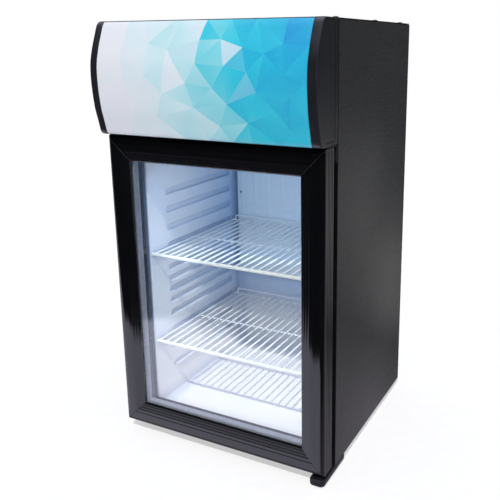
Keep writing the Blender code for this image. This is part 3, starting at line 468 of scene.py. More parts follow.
def lathe(profile, axis, centre, n, bm=None):
    bm = bm or bmesh.new()
    rows = []
    for r, a in profile:
        rows.append([bm.verts.new(at(axis, a, *centre))] if r == 0.0 else loop(bm, axis, a, circle(*centre, r, n)))
    for a, b in zip(rows, rows[1:]):
        for i in range(n):
            j = (i + 1) % n
            if len(a) == 1:
                bm.faces.new((a[0], b[i], b[j]))
            elif len(b) == 1:
                bm.faces.new((a[i], b[0], a[j]))
            else:
                bm.faces.new((a[i], a[j], b[j], b[i]))
    return bm


def round_corners(points, r, steps=3, closed=False):
    """Polyline with each corner replaced by a small arc; r may be one number or one per point."""
    pts = [Vector(p) for p in points]
    n = len(pts)
    out = []
    for i, b in enumerate(pts):
        ri = r[i] if isinstance(r, (list, tuple)) else r
        if (not closed and i in (0, n - 1)) or ri <= 0:
            out.append(b)
            continue
        a, c = pts[i - 1], pts[(i + 1) % n]
        cut = min(ri, (a - b).length * 0.48, (c - b).length * 0.48)
        p, q = b + (a - b).normalized() * cut, b + (c - b).normalized() * cut
        for s in range(steps + 1):
            t = s / steps
            out.append(p.lerp(b, t).lerp(b.lerp(q, t), t))
    return out


def tube(points, radius, n=10, bm=None, dome=True):
    """Round wire along a polyline with softly rounded ends."""
    bm = bm or bmesh.new()
    pts = [Vector(p) for p in points]
    count = len(pts)
    rings = []
    side = None
    for i, p in enumerate(pts):
        ahead = (pts[min(i + 1, count - 1)] - pts[max(i, 0)]).normalized() if i + 1 < count else (pts[i] - pts[i - 1]).normalized()
        behind = (p - pts[i - 1]).normalized() if i else ahead
        new = (ahead + behind).normalized()
        side = (new.orthogonal() if side is None else side - new * side.dot(new)).normalized()
        up = new.cross(side)
        ends = []
        if dome and i == 0:
            ends = [(-0.85, 0.45), (-0.5, 0.85)]
        rings_here = [(0.0, 1.0)]
        if dome and i == count - 1:
            rings_here = [(0.0, 1.0), (0.5, 0.85), (0.85, 0.45)]
        for along, size in ends + rings_here:
            c = p + new * radius * along
            rings.append([bm.verts.new(c + (side * math.cos(2 * math.pi * k / n) + up * math.sin(2 * math.pi * k / n)) * radius * size)
                          for k in range(n)])
    for a, b in zip(rings, rings[1:]):
        strip(bm, a, b)
    bm.faces.new(rings[0])
    bm.faces.new(rings[-1])
    return bm


def spline(points, steps=4):
    """Catmull-Rom curve through 2-D points."""
    pts = [Vector(p) for p in points]
    out = []
    for i in range(len(pts) - 1):
        p0, p1, p2 = pts[max(i - 1, 0)], pts[i], pts[i + 1]
        p3 = pts[min(i + 2, len(pts) - 1)]
        for s in range(steps):
            t = s / steps
            out.append(0.5 * ((2 * p1) + (p2 - p0) * t + (2 * p0 - 5 * p1 + 4 * p2 - p3) * t * t
                              + (3 * p1 - p0 - 3 * p2 + p3) * t * t * t))
    out.append(pts[-1])
    return out


def inset_outline(outline, d):
    """Closed outline moved inward by d."""
    pts = [Vector(p) for p in outline]
    n = len(pts)
    area = sum(pts[i].x * pts[(i + 1) % n].y - pts[(i + 1) % n].x * pts[i].y for i in range(n))
    turn = 1.0 if area > 0 else -1.0
    out = []
    for i, b in enumerate(pts):
        u, v = (b - pts[i - 1]).normalized(), (pts[(i + 1) % n] - b).normalized()
        nu, nv = Vector((-u.y, u.x)) * turn, Vector((-v.y, v.x)) * turn
        k = (nu + nv)
        scale = 1.0 / max(0.35, (1 + nu.dot(nv)) / 2)
        out.append(tuple(b + k * 0.5 * d * scale))
    return out


def make(name, bm, body, nodes, mat, smooth=32.0, shift=True):
    """bmesh in door-front coordinates to a named piece that rides on its CAD body."""
    bmesh.ops.recalc_face_normals(bm, faces=bm.faces[:])
    if shift:
        bmesh.ops.translate(bm, verts=bm.verts[:], vec=(0, Y0, 0))
    me = bpy.data.meshes.new(name)
    bm.to_mesh(me)
    bm.free()
    if smooth:
        me.shade_smooth()
        me.set_sharp_from_angle(angle=math.radians(smooth))
    ob = bpy.data.objects.new(name, me)
    bpy.context.scene.collection.objects.link(ob)
    me.materials.append(MAT[mat] if isinstance(mat, str) else mat)
    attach(ob, body)
    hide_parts(*([nodes] if isinstance(nodes, str) else nodes))
    return ob


def carve(ob, cutters, operation="DIFFERENCE", smooth=32.0):
    """Exact boolean with closed bmesh tools in door-front coordinates; the result is baked."""
    for shape in cutters:
        bmesh.ops.recalc_face_normals(shape, faces=shape.faces[:])
        bmesh.ops.translate(shape, verts=shape.verts[:], vec=(0, Y0, 0))
        me = bpy.data.meshes.new("tool")
        shape.to_mesh(me)
        shape.free()
        tool = bpy.data.objects.new("tool", me)
        bpy.context.scene.collection.objects.link(tool)
        mod = ob.modifiers.new("carve", "BOOLEAN")
        mod.operation, mod.solver, mod.object = operation, "EXACT", tool
        bpy.context.view_layer.update()
        graph = bpy.context.evaluated_depsgraph_get()
        baked = bpy.data.meshes.new_from_object(ob.evaluated_get(graph))
        ob.modifiers.clear()
        ob.data = baked
        bpy.data.objects.remove(tool, do_unlink=True)
    if smooth:
        ob.data.shade_smooth()
        ob.data.set_sharp_from_angle(angle=math.radians(smooth))
    return ob


def thicken(ob, thickness, smooth):
    """Give an open sheet its thickness behind its outer face, then bake it so that rims can be sharp."""
    mod = ob.modifiers.new("sheet", "SOLIDIFY")
    mod.thickness, mod.offset, mod.use_even_offset = thickness, -1.0, False
    bpy.context.view_layer.update()
    graph = bpy.context.evaluated_depsgraph_get()
    baked = bpy.data.meshes.new_from_object(ob.evaluated_get(graph))
    ob.modifiers.clear()
    ob.data = baked
    ob.data.shade_smooth()
    ob.data.set_sharp_from_angle(angle=math.radians(smooth))


def paint_node(node, mat):
    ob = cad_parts[node]
    ob.data.materials.clear()
    ob.data.materials.append(MAT[mat])


def refined(name, node, body, mat, smooth=40.0):
    """A CAD solid rebuilt with shared corners and smooth shading."""
    bm = bmesh.new()
    bm.from_mesh(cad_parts[node].data)
    bmesh.ops.remove_doubles(bm, verts=bm.verts[:], dist=0.00002)
    return make(name, bm, body, node, mat, smooth, shift=False)


# =====================================================================
# 3. Cabinet skins
# =====================================================================
lo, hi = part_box("side_panel_right")
CF, CB = lo.y - Y0, hi.y - Y0                  # front and back of the cabinet
SIDE_BOTTOM, SIDE_TOP = lo.z, hi.z
sheet = 0.0010


def side_skin(name, node, s):
    """Folded sheet: rounded top bend, inward flange under the top cover, softened edges."""
    r = 0.0022
    outer = [(HALF, SIDE_BOTTOM)]
    for k in range(7):
        t = math.radians(90 * k / 6)
        outer.append((HALF - r + r * math.cos(t), SIDE_TOP - r + r * math.sin(t)))
    outer.append((0.1880, SIDE_TOP))
    inner = [(0.1880, SIDE_TOP - sheet)]
    for k in range(6, -1, -1):
        t = math.radians(90 * k / 6)
        inner.append((HALF - r + (r - sheet) * math.cos(t), SIDE_TOP - r + (r - sheet) * math.sin(t)))
    inner.append((HALF - sheet, SIDE_BOTTOM))
    ring = [(s * x, z) for x, z in outer + inner]
    bm = prism(ring, "y", CF, CB)
    bmesh.ops.recalc_face_normals(bm, faces=bm.faces[:])
    ends = [e for e in bm.edges if len(e.link_faces) == 2 and e.calc_face_angle(0.0) > math.radians(60)]
    bmesh.ops.bevel(bm, geom=ends, offset=0.00042, segments=3, profile=0.5, affect="EDGES", clamp_overlap=True)
    return make(name, bm, "cabinet", node, "sheet", 40)


side_skin("side_skin_left", "side_panel_left", -1)
side_skin("side_skin_right", "side_panel_right", 1)

lo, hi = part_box("top_panel")
top = stack("z", [(lo.z, rounded(lo.x, hi.x, lo.y - Y0, hi.y - Y0, 0.0022, 5)), (hi.z - 0.0002, rounded(lo.x, hi.x, lo.y - Y0, hi.y - Y0, 0.0022, 5)),
                  (hi.z, rounded(lo.x + 0.0006, hi.x - 0.0006, lo.y - Y0 + 0.0006, hi.y - Y0 - 0.0006, 0.0018, 5))])
make("top_cover", top, "cabinet", "top_panel", "sheet", 30)

# back sheet with ventilation slots, cord hole and control hole
lo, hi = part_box("back_panel")
back = make("rear_sheet", softbox(lo.x, hi.x, lo.y - Y0, hi.y - Y0, lo.z, hi.z, 0.0003), "cabinet", "back_panel", "back", 30)
slots = bmesh.new()
for row in range(7):
    z = 0.6120 + row * 0.0190
    prism(rounded(0.0350, 0.1850, z, z + 0.0080, 0.00395, 6), "y", 0.4040, 0.4100, slots)
for row in range(4):
    z = 0.6120 + row * 0.0190
    prism(rounded(-0.1500, -0.0300, z, z + 0.0080, 0.00395, 6), "y", 0.4040, 0.4100, slots)
kc = (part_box("thermostat_knob")[0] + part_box("thermostat_knob")[1]) / 2
prism(circle(kc.x, kc.z, 0.0045, 24), "y", 0.4040, 0.4100, slots)
prism(circle(-0.1800, 0.6300, 0.0052, 24), "y", 0.4040, 0.4100, slots)
carve(back, [slots], smooth=30)

for node, mat in (("base_plate", "galv"), ("machine_deck", "galv"), ("front_plate", "front"), ("canopy_tray", "paint"),
                  ("canopy_light_bar", "lens"), ("foam_insulation", "foam"), ("condenser_fins", "fins"),
                  ("thermostat_body", "plastic"), ("hinge_bracket_upper", "paint"), ("terminal_box", "plastic")):
    paint_node(node, mat)


# =====================================================================
# 4. Liner: one vacuum-formed sheet
# =====================================================================
LX, ZF, ZC = 0.1745, 0.0380, 0.5600
YB = 0.3715
GX = 0.1785
GROOVES = [0.4615, 0.4250, 0.3885, 0.3515, 0.3050, 0.2820, 0.2590, 0.2355, 0.2080, 0.1715, 0.1340, 0.0970]
GH = 0.0145


def groove_depth(y, z):
    """0 on the wall, 1 at the bottom of a moulded shelf groove."""
    best = 0.0
    for z0 in GROOVES:
        y0, y1 = 0.1050, 0.3420
        hy, hz, r = (y1 - y0) / 2, GH / 2, 0.0060
        qy, qz = abs(y - (y0 + y1) / 2) - hy + r, abs(z - z0 - GH / 2) - hz + r
        d = math.hypot(max(qy, 0), max(qz, 0)) + min(max(qy, qz), 0.0) - r
        t = min(1.0, max(0.0, -d / 0.0034))
        deep = min(1.0, max(0.0, (y - 0.2800) / 0.0030))
        best = max(best, t * t * (3 - 2 * t) * (1.0 + 0.28 * deep))
    return best


def build_liner():
    zs = {ZF + 0.006, ZC - 0.006}
    for z0 in GROOVES:
        for o in (-0.0003, 0.0, 0.0007, 0.0014, 0.0021, 0.0028, 0.0035, 0.0042, 0.0056, GH / 2,
                  GH - 0.0056, GH - 0.0042, GH - 0.0035, GH - 0.0028, GH - 0.0021, GH - 0.0014, GH - 0.0007, GH, GH + 0.0003):
            zs.add(round(z0 + o, 6))
    zs = sorted(z for z in zs if ZF + 0.006 <= z <= ZC - 0.006)
    ys = [0.0500, 0.0502, 0.0510, 0.0522, 0.0535, 0.0560, 0.0700, 0.0900, 0.1040]
    for o in (0.0, 0.0007, 0.0014, 0.0021, 0.0028, 0.0035, 0.0042, 0.0052, 0.0064, 0.0090):
        ys += [0.1050 + o, 0.3420 - o]
    ys += [0.1400, 0.1750, 0.2100, 0.2450, 0.2798, 0.2806, 0.2815, 0.2824, 0.2832, 0.3100, 0.3430, 0.3500]
    ys = sorted(ys)
    r_lip, r_edge, r_rear = 0.0035, 0.0060, 0.0070
    rear = [(YB - r_rear * (1 - math.sin(a)), r_rear * (1 - math.cos(a))) for a in [math.radians(90 * k / 8) for k in range(9)]]
    rows = []
    for y in ys:
        if y < 0.0500 + r_lip:
            t = 1 - (y - 0.0500) / r_lip
            rows.append((y, -r_lip * (1 - math.sqrt(max(0.0, 1 - t * t)))))
        else:
            rows.append((y, 0.0))
    for y, inset in rear[1:]:
        rows.append((y, inset))
    zm = (ZF + ZC) / 2
    bm = bmesh.new()
    loops = []
    for y, inset in rows:
        hx = LX - inset
        hz = (ZC - ZF) / 2 - (inset if inset < 0 else inset * 0.45)
        k = hz / ((ZC - ZF) / 2)
        row = []
        steps = 5
        re = max(0.0015, r_edge - (inset if inset < 0 else 0))

        def wall(s, order):
            for z in order:
                g = groove_depth(y, z) if inset == 0.0 else 0.0
                row.append(bm.verts.new((s * (hx + (GX - LX) * g), y, zm + (z - zm) * k)))

        def corner(sx, sz, flip):
            for i in range(1, steps):
                a = math.radians(90 * (i if not flip else steps - i) / steps)
                row.append(bm.verts.new((sx * (hx - r_edge + r_edge * math.cos(a)), y, zm + sz * (hz - r_edge * k + r_edge * k * math.sin(a)))))

        wall(1, zs)
        corner(1, 1, False)
        for x in (0.1685, 0.10, 0.0, -0.10, -0.1685):
            xx = math.copysign(min(abs(x), LX - r_edge), x) * (hx - r_edge) / (LX - r_edge)
            row.append(bm.verts.new((xx, y, zm + hz)))
        corner(-1, 1, True)
        wall(-1, zs[::-1])
        corner(-1, -1, False)
        for x in (-0.1685, -0.10, 0.0, 0.10, 0.1685):
            xx = math.copysign(min(abs(x), LX - r_edge), x) * (hx - r_edge) / (LX - r_edge)
            row.append(bm.verts.new((xx, y, zm - hz)))
        corner(1, -1, True)
        loops.append(row)
    for a, b in zip(loops, loops[1:]):
        strip(bm, a, b)
    bm.faces.new(loops[-1])
    # front flange: from the lip outward to the flange edge, then turned back
    fx, fz0, fz1 = 0.1885, 0.0260, 0.5720
    flange = []
    edge = []
    for v in loops[0]:
        x, z = v.co.x, v.co.z
        dx, dz = x / (LX + r_lip), (z - zm) / ((ZC - ZF) / 2 + r_lip)
        if abs(dx) >= abs(dz) * 1.0:
            px = math.copysign(fx, x)
            pz = zm + (z - zm) * ((fz1 - fz0) / 2) / ((ZC - ZF) / 2 + r_lip)
        else:
            pz = fz1 if z > zm else fz0
            px = x * fx / (LX + r_lip)
        pz = min(max(pz, fz0), fz1)
        px = min(max(px, -fx), fx)
        flange.append(bm.verts.new((px, 0.0500, pz)))
        edge.append(bm.verts.new((px, 0.0510, pz)))
    strip(bm, flange, loops[0])
    strip(bm, edge, flange)
    return bm


liner = make("liner_shell", build_liner(), "cabinet", "inner_liner", "liner", 50)
# the sheet gets its thickness outward, away from the cold space
me = liner.data
probe = max(me.polygons, key=lambda p: p.area)
wall_face = min((p for p in me.polygons if abs(p.center.x - LX) < 0.0002), key=lambda p: abs(p.center.y - Y0 - 0.08))
if wall_face.normal.x > 0:
    me.flip_normals()
thicken(liner, 0.0011, 50)


# =====================================================================
# 5. Evaporator plate with roll-bond channels
# =====================================================================
def build_evaporator():
    lo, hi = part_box("evaporator_plate")
    x0, x1, z0, z1 = lo.x, hi.x, lo.z, hi.z
    yf, yb = lo.y - Y0, lo.y - Y0 + 0.0015
    pitch, half, depth = 0.0340, 0.0042, 0.00105
    lines = [-0.1530 + pitch * k for k in range(10)]
    ztop, zlow = z1 - 0.026, z0 + 0.030
    header = 0.3860                                    # cross channel that joins the risers

    def height(x, z):
        d = 1.0
        if lines[0] <= x <= lines[-1]:
            d = abs(z - header)
        for k, xl in enumerate(lines):
            if zlow <= z <= ztop:
                d = min(d, abs(x - xl))
            if k + 1 < len(lines):
                cx, r = xl + pitch / 2, pitch / 2
                if k % 2 == 0 and z > ztop:
                    d = min(d, abs(math.hypot(x - cx, (z - ztop) * 1.25) - r))
                if k % 2 == 1 and z < zlow:
                    d = min(d, abs(math.hypot(x - cx, z - zlow) - r))
        t = min(1.0, max(0.0, (half - d) / (half * 0.75)))
        return depth * t * t * (3 - 2 * t)

    xs = sorted({round(x, 6) for xl in lines for x in (xl - half - 0.0004, xl - half, xl - half * 0.7, xl - half * 0.4, xl - half * 0.15,
                                                       xl + half * 0.15, xl + half * 0.4, xl + half * 0.7, xl + half, xl + half + 0.0004,
                                                       xl + half + 0.0045, xl - half - 0.0045, xl + pitch / 2)
                 if x0 + 0.0008 < x < x1 - 0.0008})
    xs = [x0, x0 + 0.0006] + xs + [x1 - 0.0006, x1]
    zs = [z0, z0 + 0.0006] + [z0 + 0.004 + 0.0018 * k for k in range(16)]
    zs += [zlow + (ztop - zlow) * k / 9 for k in range(1, 9)]
    zs += [header + half * f for f in (-1.1, -1.0, -0.7, -0.4, -0.15, 0.15, 0.4, 0.7, 1.0, 1.1)]
    zs += [ztop + 0.0016 * k for k in range(0, 15)] + [z1 - 0.0006, z1]
    zs = sorted(set(round(z, 6) for z in zs if z <= z1))
    bm = bmesh.new()
    grid = []
    for z in zs:
        row = []
        for x in xs:
            edge = 0.0004 if x in (x0, x1) or z in (z0, z1) else 0.0
            row.append(bm.verts.new((x, yf + edge - height(x, z), z)))
        grid.append(row)
    for a, b in zip(grid, grid[1:]):
        strip(bm, a, b, closed=False)
    rim = grid[0] + [r[-1] for r in grid[1:]] + grid[-1][-2::-1] + [r[0] for r in grid[-2:0:-1]]
    backs = [bm.verts.new((v.co.x, yb, v.co.z)) for v in rim]
    strip(bm, rim, backs)
    bm.faces.new(backs)
    return bm


evap = make("evaporator_skin", build_evaporator(), "cabinet", "evaporator_plate", "evap", 40)
carve(evap, [prism(circle(-0.1565, 0.4205, 0.0022, 20), "y", 0.3500, 0.3650)], smooth=40)
# four pressed feet reach back to the rear wall
yb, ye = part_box("evaporator_plate")[0].y - Y0 + 0.0015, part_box("evaporator_plate")[1].y - Y0
carve(evap, [lathe([(0, yb - 0.0006), (0.0098, yb - 0.0006), (0.0094, yb + 0.0010), (0.0060, ye - 0.0012), (0.0050, ye), (0, ye)], "y", (x, z), 24)
             for x in (-0.120, 0.120) for z in (0.270, 0.506)], "UNION", smooth=40)

lo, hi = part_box("interior_lamp")
y0, y1, zb, zt = lo.y - Y0, hi.y - Y0, lo.z, hi.z
lamp_profile = [(y0, zt), (y0, zb + 0.0045)]
for k in range(13):
    t = math.radians(180 + 180 * k / 12)
    lamp_profile.append(((y0 + y1) / 2 + (y1 - y0) / 2 * math.cos(t), zb + 0.0042 + 0.0042 * math.sin(t)))
lamp_profile += [(y1, zb + 0.0045), (y1, zt)]
lamp = prism(lamp_profile, "x", lo.x, hi.x)
soften(lamp, 0.0005, 2, 60)
make("interior_lamp_lens", lamp, "cabinet", "interior_lamp", "lens", 35)


# =====================================================================
# 6. Wire shelves
# =====================================================================
def build_shelf(node):
    lo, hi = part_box(node)
    y0, y1, z = lo.y - Y0, hi.y - Y0, lo.z
    bm = bmesh.new()
    count, pitch = 22, 0.01634
    xe = (count - 1) / 2 * pitch
    r_wire, r_rail = 0.00180, 0.00340
    zr = z + 0.0031                                    # centre of the front rail
    zw = zr + 0.0008                                   # the wires sit on the cross wires
    tube([(-xe - 0.0030, y0 + r_rail, zr), (xe + 0.0030, y0 + r_rail, zr)], r_rail, 14, bm)
    for n in range(count):
        x = (n - (count - 1) / 2) * pitch
        tube([(x, y0 + r_rail, zw), (x, y1 - 0.0024, zw)], r_wire, 10, bm)
    # cross wires welded below, the middle one reaching into the side grooves
    ym = y0 + 0.1472
    tube([(-0.1777 + r_wire, ym, zw - 0.0026), (0.1777 - r_wire, ym, zw - 0.0026)], r_wire, 10, bm)
    tube([(-xe, y1 - 0.0040, zw - 0.0026), (xe, y1 - 0.0040, zw - 0.0026)], r_wire, 10, bm)
    # end stop: one hoop standing up at the rear with bent corners
    zh = z + 0.0146 - r_wire
    xh = xe - 0.0020
    hoop = round_corners([(-xh, y1 - 0.0060, zw), (-xh, y1 - r_wire, zw + 0.0008), (-xh, y1 - r_wire, zh), (xh, y1 - r_wire, zh),
                          (xh, y1 - r_wire, zw + 0.0008), (xh, y1 - 0.0060, zw)], [0, 0.0020, 0.0065, 0.0065, 0.0020, 0], 6)
    tube(hoop, r_wire, 10, bm)
    return bm


make("wire_shelf_upper", build_shelf("shelf_upper"), "cabinet", "shelf_upper", "wire", 50)
make("wire_shelf_lower", build_shelf("shelf_lower"), "cabinet", "shelf_lower", "wire", 50)

# =====================================================================
# 7. Canopy
# =====================================================================
CURVE = [(-0.0060, 0.5940), (-0.0125, 0.5962), (-0.0165, 0.6020), (-0.0210, 0.6200),
         (-0.0258, 0.6380), (-0.0285, 0.6560), (-0.0303, 0.6760), (-0.0310, 0.6960),
         (-0.0298, 0.7160), (-0.0264, 0.7320), (-0.0205, 0.7500), (-0.0150, 0.7640),
         (-0.0098, 0.7770), (-0.0058, 0.7840), (0.0010, 0.7880)]
lo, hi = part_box("canopy_end_right")
CAP_IN, CAP_OUT, CAP_BACK, CAP_Z0, CAP_Z1 = lo.x, hi.x, hi.y - Y0, lo.z, hi.z


def build_cap(s):
    front = [tuple(p) for p in spline(CURVE, 4)]
    outline = front + [(0.0200, CAP_Z1), (CAP_BACK - 0.0012, CAP_Z1), (CAP_BACK, CAP_Z1 - 0.0012), (CAP_BACK, 0.70),
                       (CAP_BACK, CAP_Z0 + 0.0012), (CAP_BACK - 0.0012, CAP_Z0), (0.0200, CAP_Z0)]
    rows = [(s * CAP_IN, inset_outline(outline, 0.0007)), (s * (CAP_IN + 0.0003), inset_outline(outline, 0.0002)),
            (s * (CAP_IN + 0.0010), outline)]
    r = 0.0024
    for k in range(9):
        a = math.radians(90 * k / 8)
        rows.append((s * (CAP_OUT - r + r * math.sin(a)), inset_outline(outline, r * (1 - math.cos(a)))))
    return stack("x", rows)


for side, s in (("left", -1), ("right", 1)):
    cap = make(f"canopy_cap_{side}", build_cap(s), "cabinet", f"canopy_end_{side}", "cap", 40)
    # fine recessed line that frames the cap's side face along the top and the back
    path = round_corners([(s * CAP_OUT, -0.0020, 0.7790), (s * CAP_OUT, 0.0352, 0.7782), (s * CAP_OUT, 0.0372, 0.6010), (s * CAP_OUT, 0.0060, 0.6010)],
                         [0, 0.0035, 0.0035, 0], 5)
    carve(cap, [tube(path, 0.0011, 8)], smooth=40)

# curved printed sheet: facets of a random triangulation, cut into strips that follow the curve
plo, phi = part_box("canopy_panel")
PX = phi.x
front = [(-0.0127, 0.5960)] + [(y - 0.0002, z) for y, z in CURVE[2:14]] + [(-0.0042, 0.7862)]
curve = [Vector(p) for p in spline(front, 3)]
arc = [0.0]
for a, b in zip(curve, curve[1:]):
    arc.append(arc[-1] + (b - a).length)
LENGTH = arc[-1]


def on_curve(s):
    for i in range(len(arc) - 1):
        if s <= arc[i + 1] or i == len(arc) - 2:
            t = (s - arc[i]) / (arc[i + 1] - arc[i])
            return curve[i].lerp(curve[i + 1], t)


def build_print():
    rng = random.Random(19)
    pts = []
    for k in range(10):                                # points along the border
        x = -PX + 2 * PX * k / 9
        pts += [(x + (0 if k in (0, 9) else rng.uniform(-0.018, 0.018)), 0.0), (x + (0 if k in (0, 9) else rng.uniform(-0.018, 0.018)), LENGTH)]
    for k in (1, 2, 3):
        pts += [(-PX, LENGTH * k / 4 + rng.uniform(-0.012, 0.012)), (PX, LENGTH * k / 4 + rng.uniform(-0.012, 0.012))]
    tries = 0
    while len(pts) < 26 + 38 and tries < 6000:
        tries += 1
        x, s = rng.uniform(-PX + 0.012, PX - 0.012), rng.uniform(0.012, LENGTH - 0.012)
        near = 0.040 if x < 0.0 else 0.033
        if all(math.hypot(x - a, s - b) > near for a, b in pts):
            pts.append((x, s))
    verts, _, tris, *_ = delaunay_2d_cdt([Vector(p) for p in pts], [], [], 0, 1e-7)
    bm = bmesh.new()
    ident = bm.faces.layers.int.new("ident")
    made = [bm.verts.new((v.x, 0.0, v.y)) for v in verts]
    info = []
    for t in tris:
        try:
            f = bm.faces.new([made[i] for i in t])
        except ValueError:
            continue
        c = f.calc_center_median()
        u, w = (c.x + PX) / (2 * PX), c.z / LENGTH
        run = [(0.00, 0.04), (0.12, 0.15), (0.30, 0.29), (0.46, 0.42), (0.56, 0.53), (0.66, 0.67), (0.80, 0.76), (1.00, 0.86)]
        lean = u + 0.16 * (w - 0.5) * min(1.0, u * 2)          # the blue reaches further in along the top
        base = run[-1][1]
        for (ua, va), (ub, vb) in zip(run, run[1:]):
            if lean <= ub:
                base = va + (vb - va) * max(0.0, lean - ua) / (ub - ua)
                break
        spread = 0.030 + 0.060 * max(0.0, 1 - abs(u - 0.50) / 0.30) + 0.035 * min(1.0, u * 1.5)
        tint = base + rng.uniform(-spread, spread)
        paper = 0.0
        if 0.28 < u < 0.66 and rng.random() < 0.14:
            paper = rng.uniform(0.40, 0.72)
        elif 0.20 < u < 0.8 and rng.random() < 0.25:
            paper = rng.uniform(0.06, 0.16)
        ang = rng.uniform(0, 2 * math.pi)
        slope = rng.uniform(0.6, 2.2) * (0.5 + 0.8 * u)
        info.append((tint, paper, math.cos(ang) * slope, math.sin(ang) * slope, c.x, c.z))
        f[ident] = len(info) - 1
    for k in range(1, len(arc) - 1):
        geom = bm.verts[:] + bm.edges[:] + bm.faces[:]
        bmesh.ops.bisect_plane(bm, geom=geom, dist=1e-7, plane_co=(0, 0, arc[k]), plane_no=(0, 0, 1))
    facet = bm.loops.layers.float.new("facet")
    paper = bm.loops.layers.float.new("paper")
    for f in bm.faces:
        tint, white, gx, gz, cx, cz = info[f[ident]]
        for l in f.loops:
            l[facet] = min(0.99, max(0.01, tint + gx * (l.vert.co.x - cx) + gz * (l.vert.co.z - cz)))
            l[paper] = white
    for v in bm.verts:
        p = on_curve(v.co.z)
        v.co = (v.co.x, p.x, p.y)
    return bm


printed = make("canopy_face", build_print(), "cabinet", "canopy_panel", "print", 0)
printed.data.shade_smooth()
if sum(p.normal.y * p.area for p in printed.data.polygons) > 0:
    printed.data.flip_normals()
thicken(printed, 0.0015, 40)

# =====================================================================
# 8. Door
# =====================================================================
dlo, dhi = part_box("door_frame_top")
DZ1 = dhi.z
DZ0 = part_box("door_frame_bottom")[0].z
DEPTH = dhi.y - Y0


def frame_section(groove):
    """Section of one frame member as (distance in from the outer edge, y): convex outer edge, flat face,
    a groove, stepped ridges down to the glass, the glass rebate, and shallow grooves on the outer side."""
    pts = []
    for k in range(9):
        t = math.radians(90 * k / 8)
        pts.append((0.0095 * (1 - math.cos(t)), 0.0060 * (1 - math.sin(t)) + 0.00010))
    pts += [(0.0125, 0.0001), (0.0156, 0.0001), (0.0190, 0.0001), (0.0216, 0.0001)]
    steps = [(0.0222, groove), (0.0232, groove), (0.0237, 0.0003), (0.0285, 0.0006), (0.0289, 0.0013), (0.0337, 0.0016),
             (0.0341, 0.0023), (0.0389, 0.0026), (0.0393, 0.0033), (0.0425, 0.0036), (0.0445, 0.0056)]
    soft = round_corners([(0.0216, 0.0001)] + steps + [(0.0445, 0.0077)], 0.00024, 2)
    pts += [tuple(p) for p in soft[1:]]
    pts += [(0.0365, 0.0077), (0.0365, 0.0278), (0.0445, 0.0278), (0.0445, DEPTH - 0.0006), (0.0439, DEPTH), (0.0010, DEPTH), (0.0, DEPTH - 0.0010)]
    for y in (0.0292, 0.0236, 0.0180, 0.0124):
        pts += [(0.0, y + 0.0013), (0.0007, y + 0.0008), (0.0009, y), (0.0007, y - 0.0008), (0.0, y - 0.0013)]
    return pts


def frame_member(where):
    section = frame_section(0.0012 if where in ("top", "bottom") else 0.0002)
    bm = bmesh.new()
    rows = []
    gap = 0.00015
    for end in (0, 1):
        for back in ((0.00045, 0.0) if end == 0 else (0.0, 0.00045)):
            row = []
            for u, y in section:
                lift = back * 0.8 if y < 0.008 else 0.0
                g = gap - back + 0.00045
                if where in ("top", "bottom"):
                    z = DZ1 - u if where == "top" else DZ0 + u
                    x = (HALF - u - g) * (1 if end else -1)
                else:
                    x = (HALF - u) * (1 if where == "right" else -1)
                    z = DZ1 - u - g if end else DZ0 + u + g
                row.append(bm.verts.new((x, y, z)))
            rows.append(row)
    # the outermost section of each end is pulled in a hair so that the mitre line shows
    for row in (rows[0], rows[-1]):
        for v in row:
            if v.co.y < 0.0078:
                v.co.y += 0.00045
    for a, b in zip(rows, rows[1:]):
        strip(bm, a, b)
    for row in (rows[0], rows[-1]):
        f = bm.faces.new(row)
        bmesh.ops.triangulate(bm, faces=[f])
    return bm


HX, HY = 0.2000, 0.0180
for where in ("top", "bottom", "left", "right"):
    ob = make(f"door_member_{where}", frame_member(where), "door", f"door_frame_{where}", "pvc", 28)
    holes = []
    if where in ("top", "right"):
        holes.append(prism(circle(HX, HY, 0.0062, 32), "z", 0.5797, 0.5925))
    if where in ("bottom", "right"):
        holes.append(prism(circle(HX, HY, 0.0062, 32), "z", 0.0205, 0.0333))
    if holes:
        carve(ob, holes, smooth=28)

for name, node in (("pane_outer", "glass_outer"), ("pane_inner", "glass_inner")):
    lo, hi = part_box(node)
    make(name, softbox(lo.x, hi.x, lo.y - Y0, hi.y - Y0, lo.z, hi.z, 0.0004, 1), "door", node, "glass", 20)


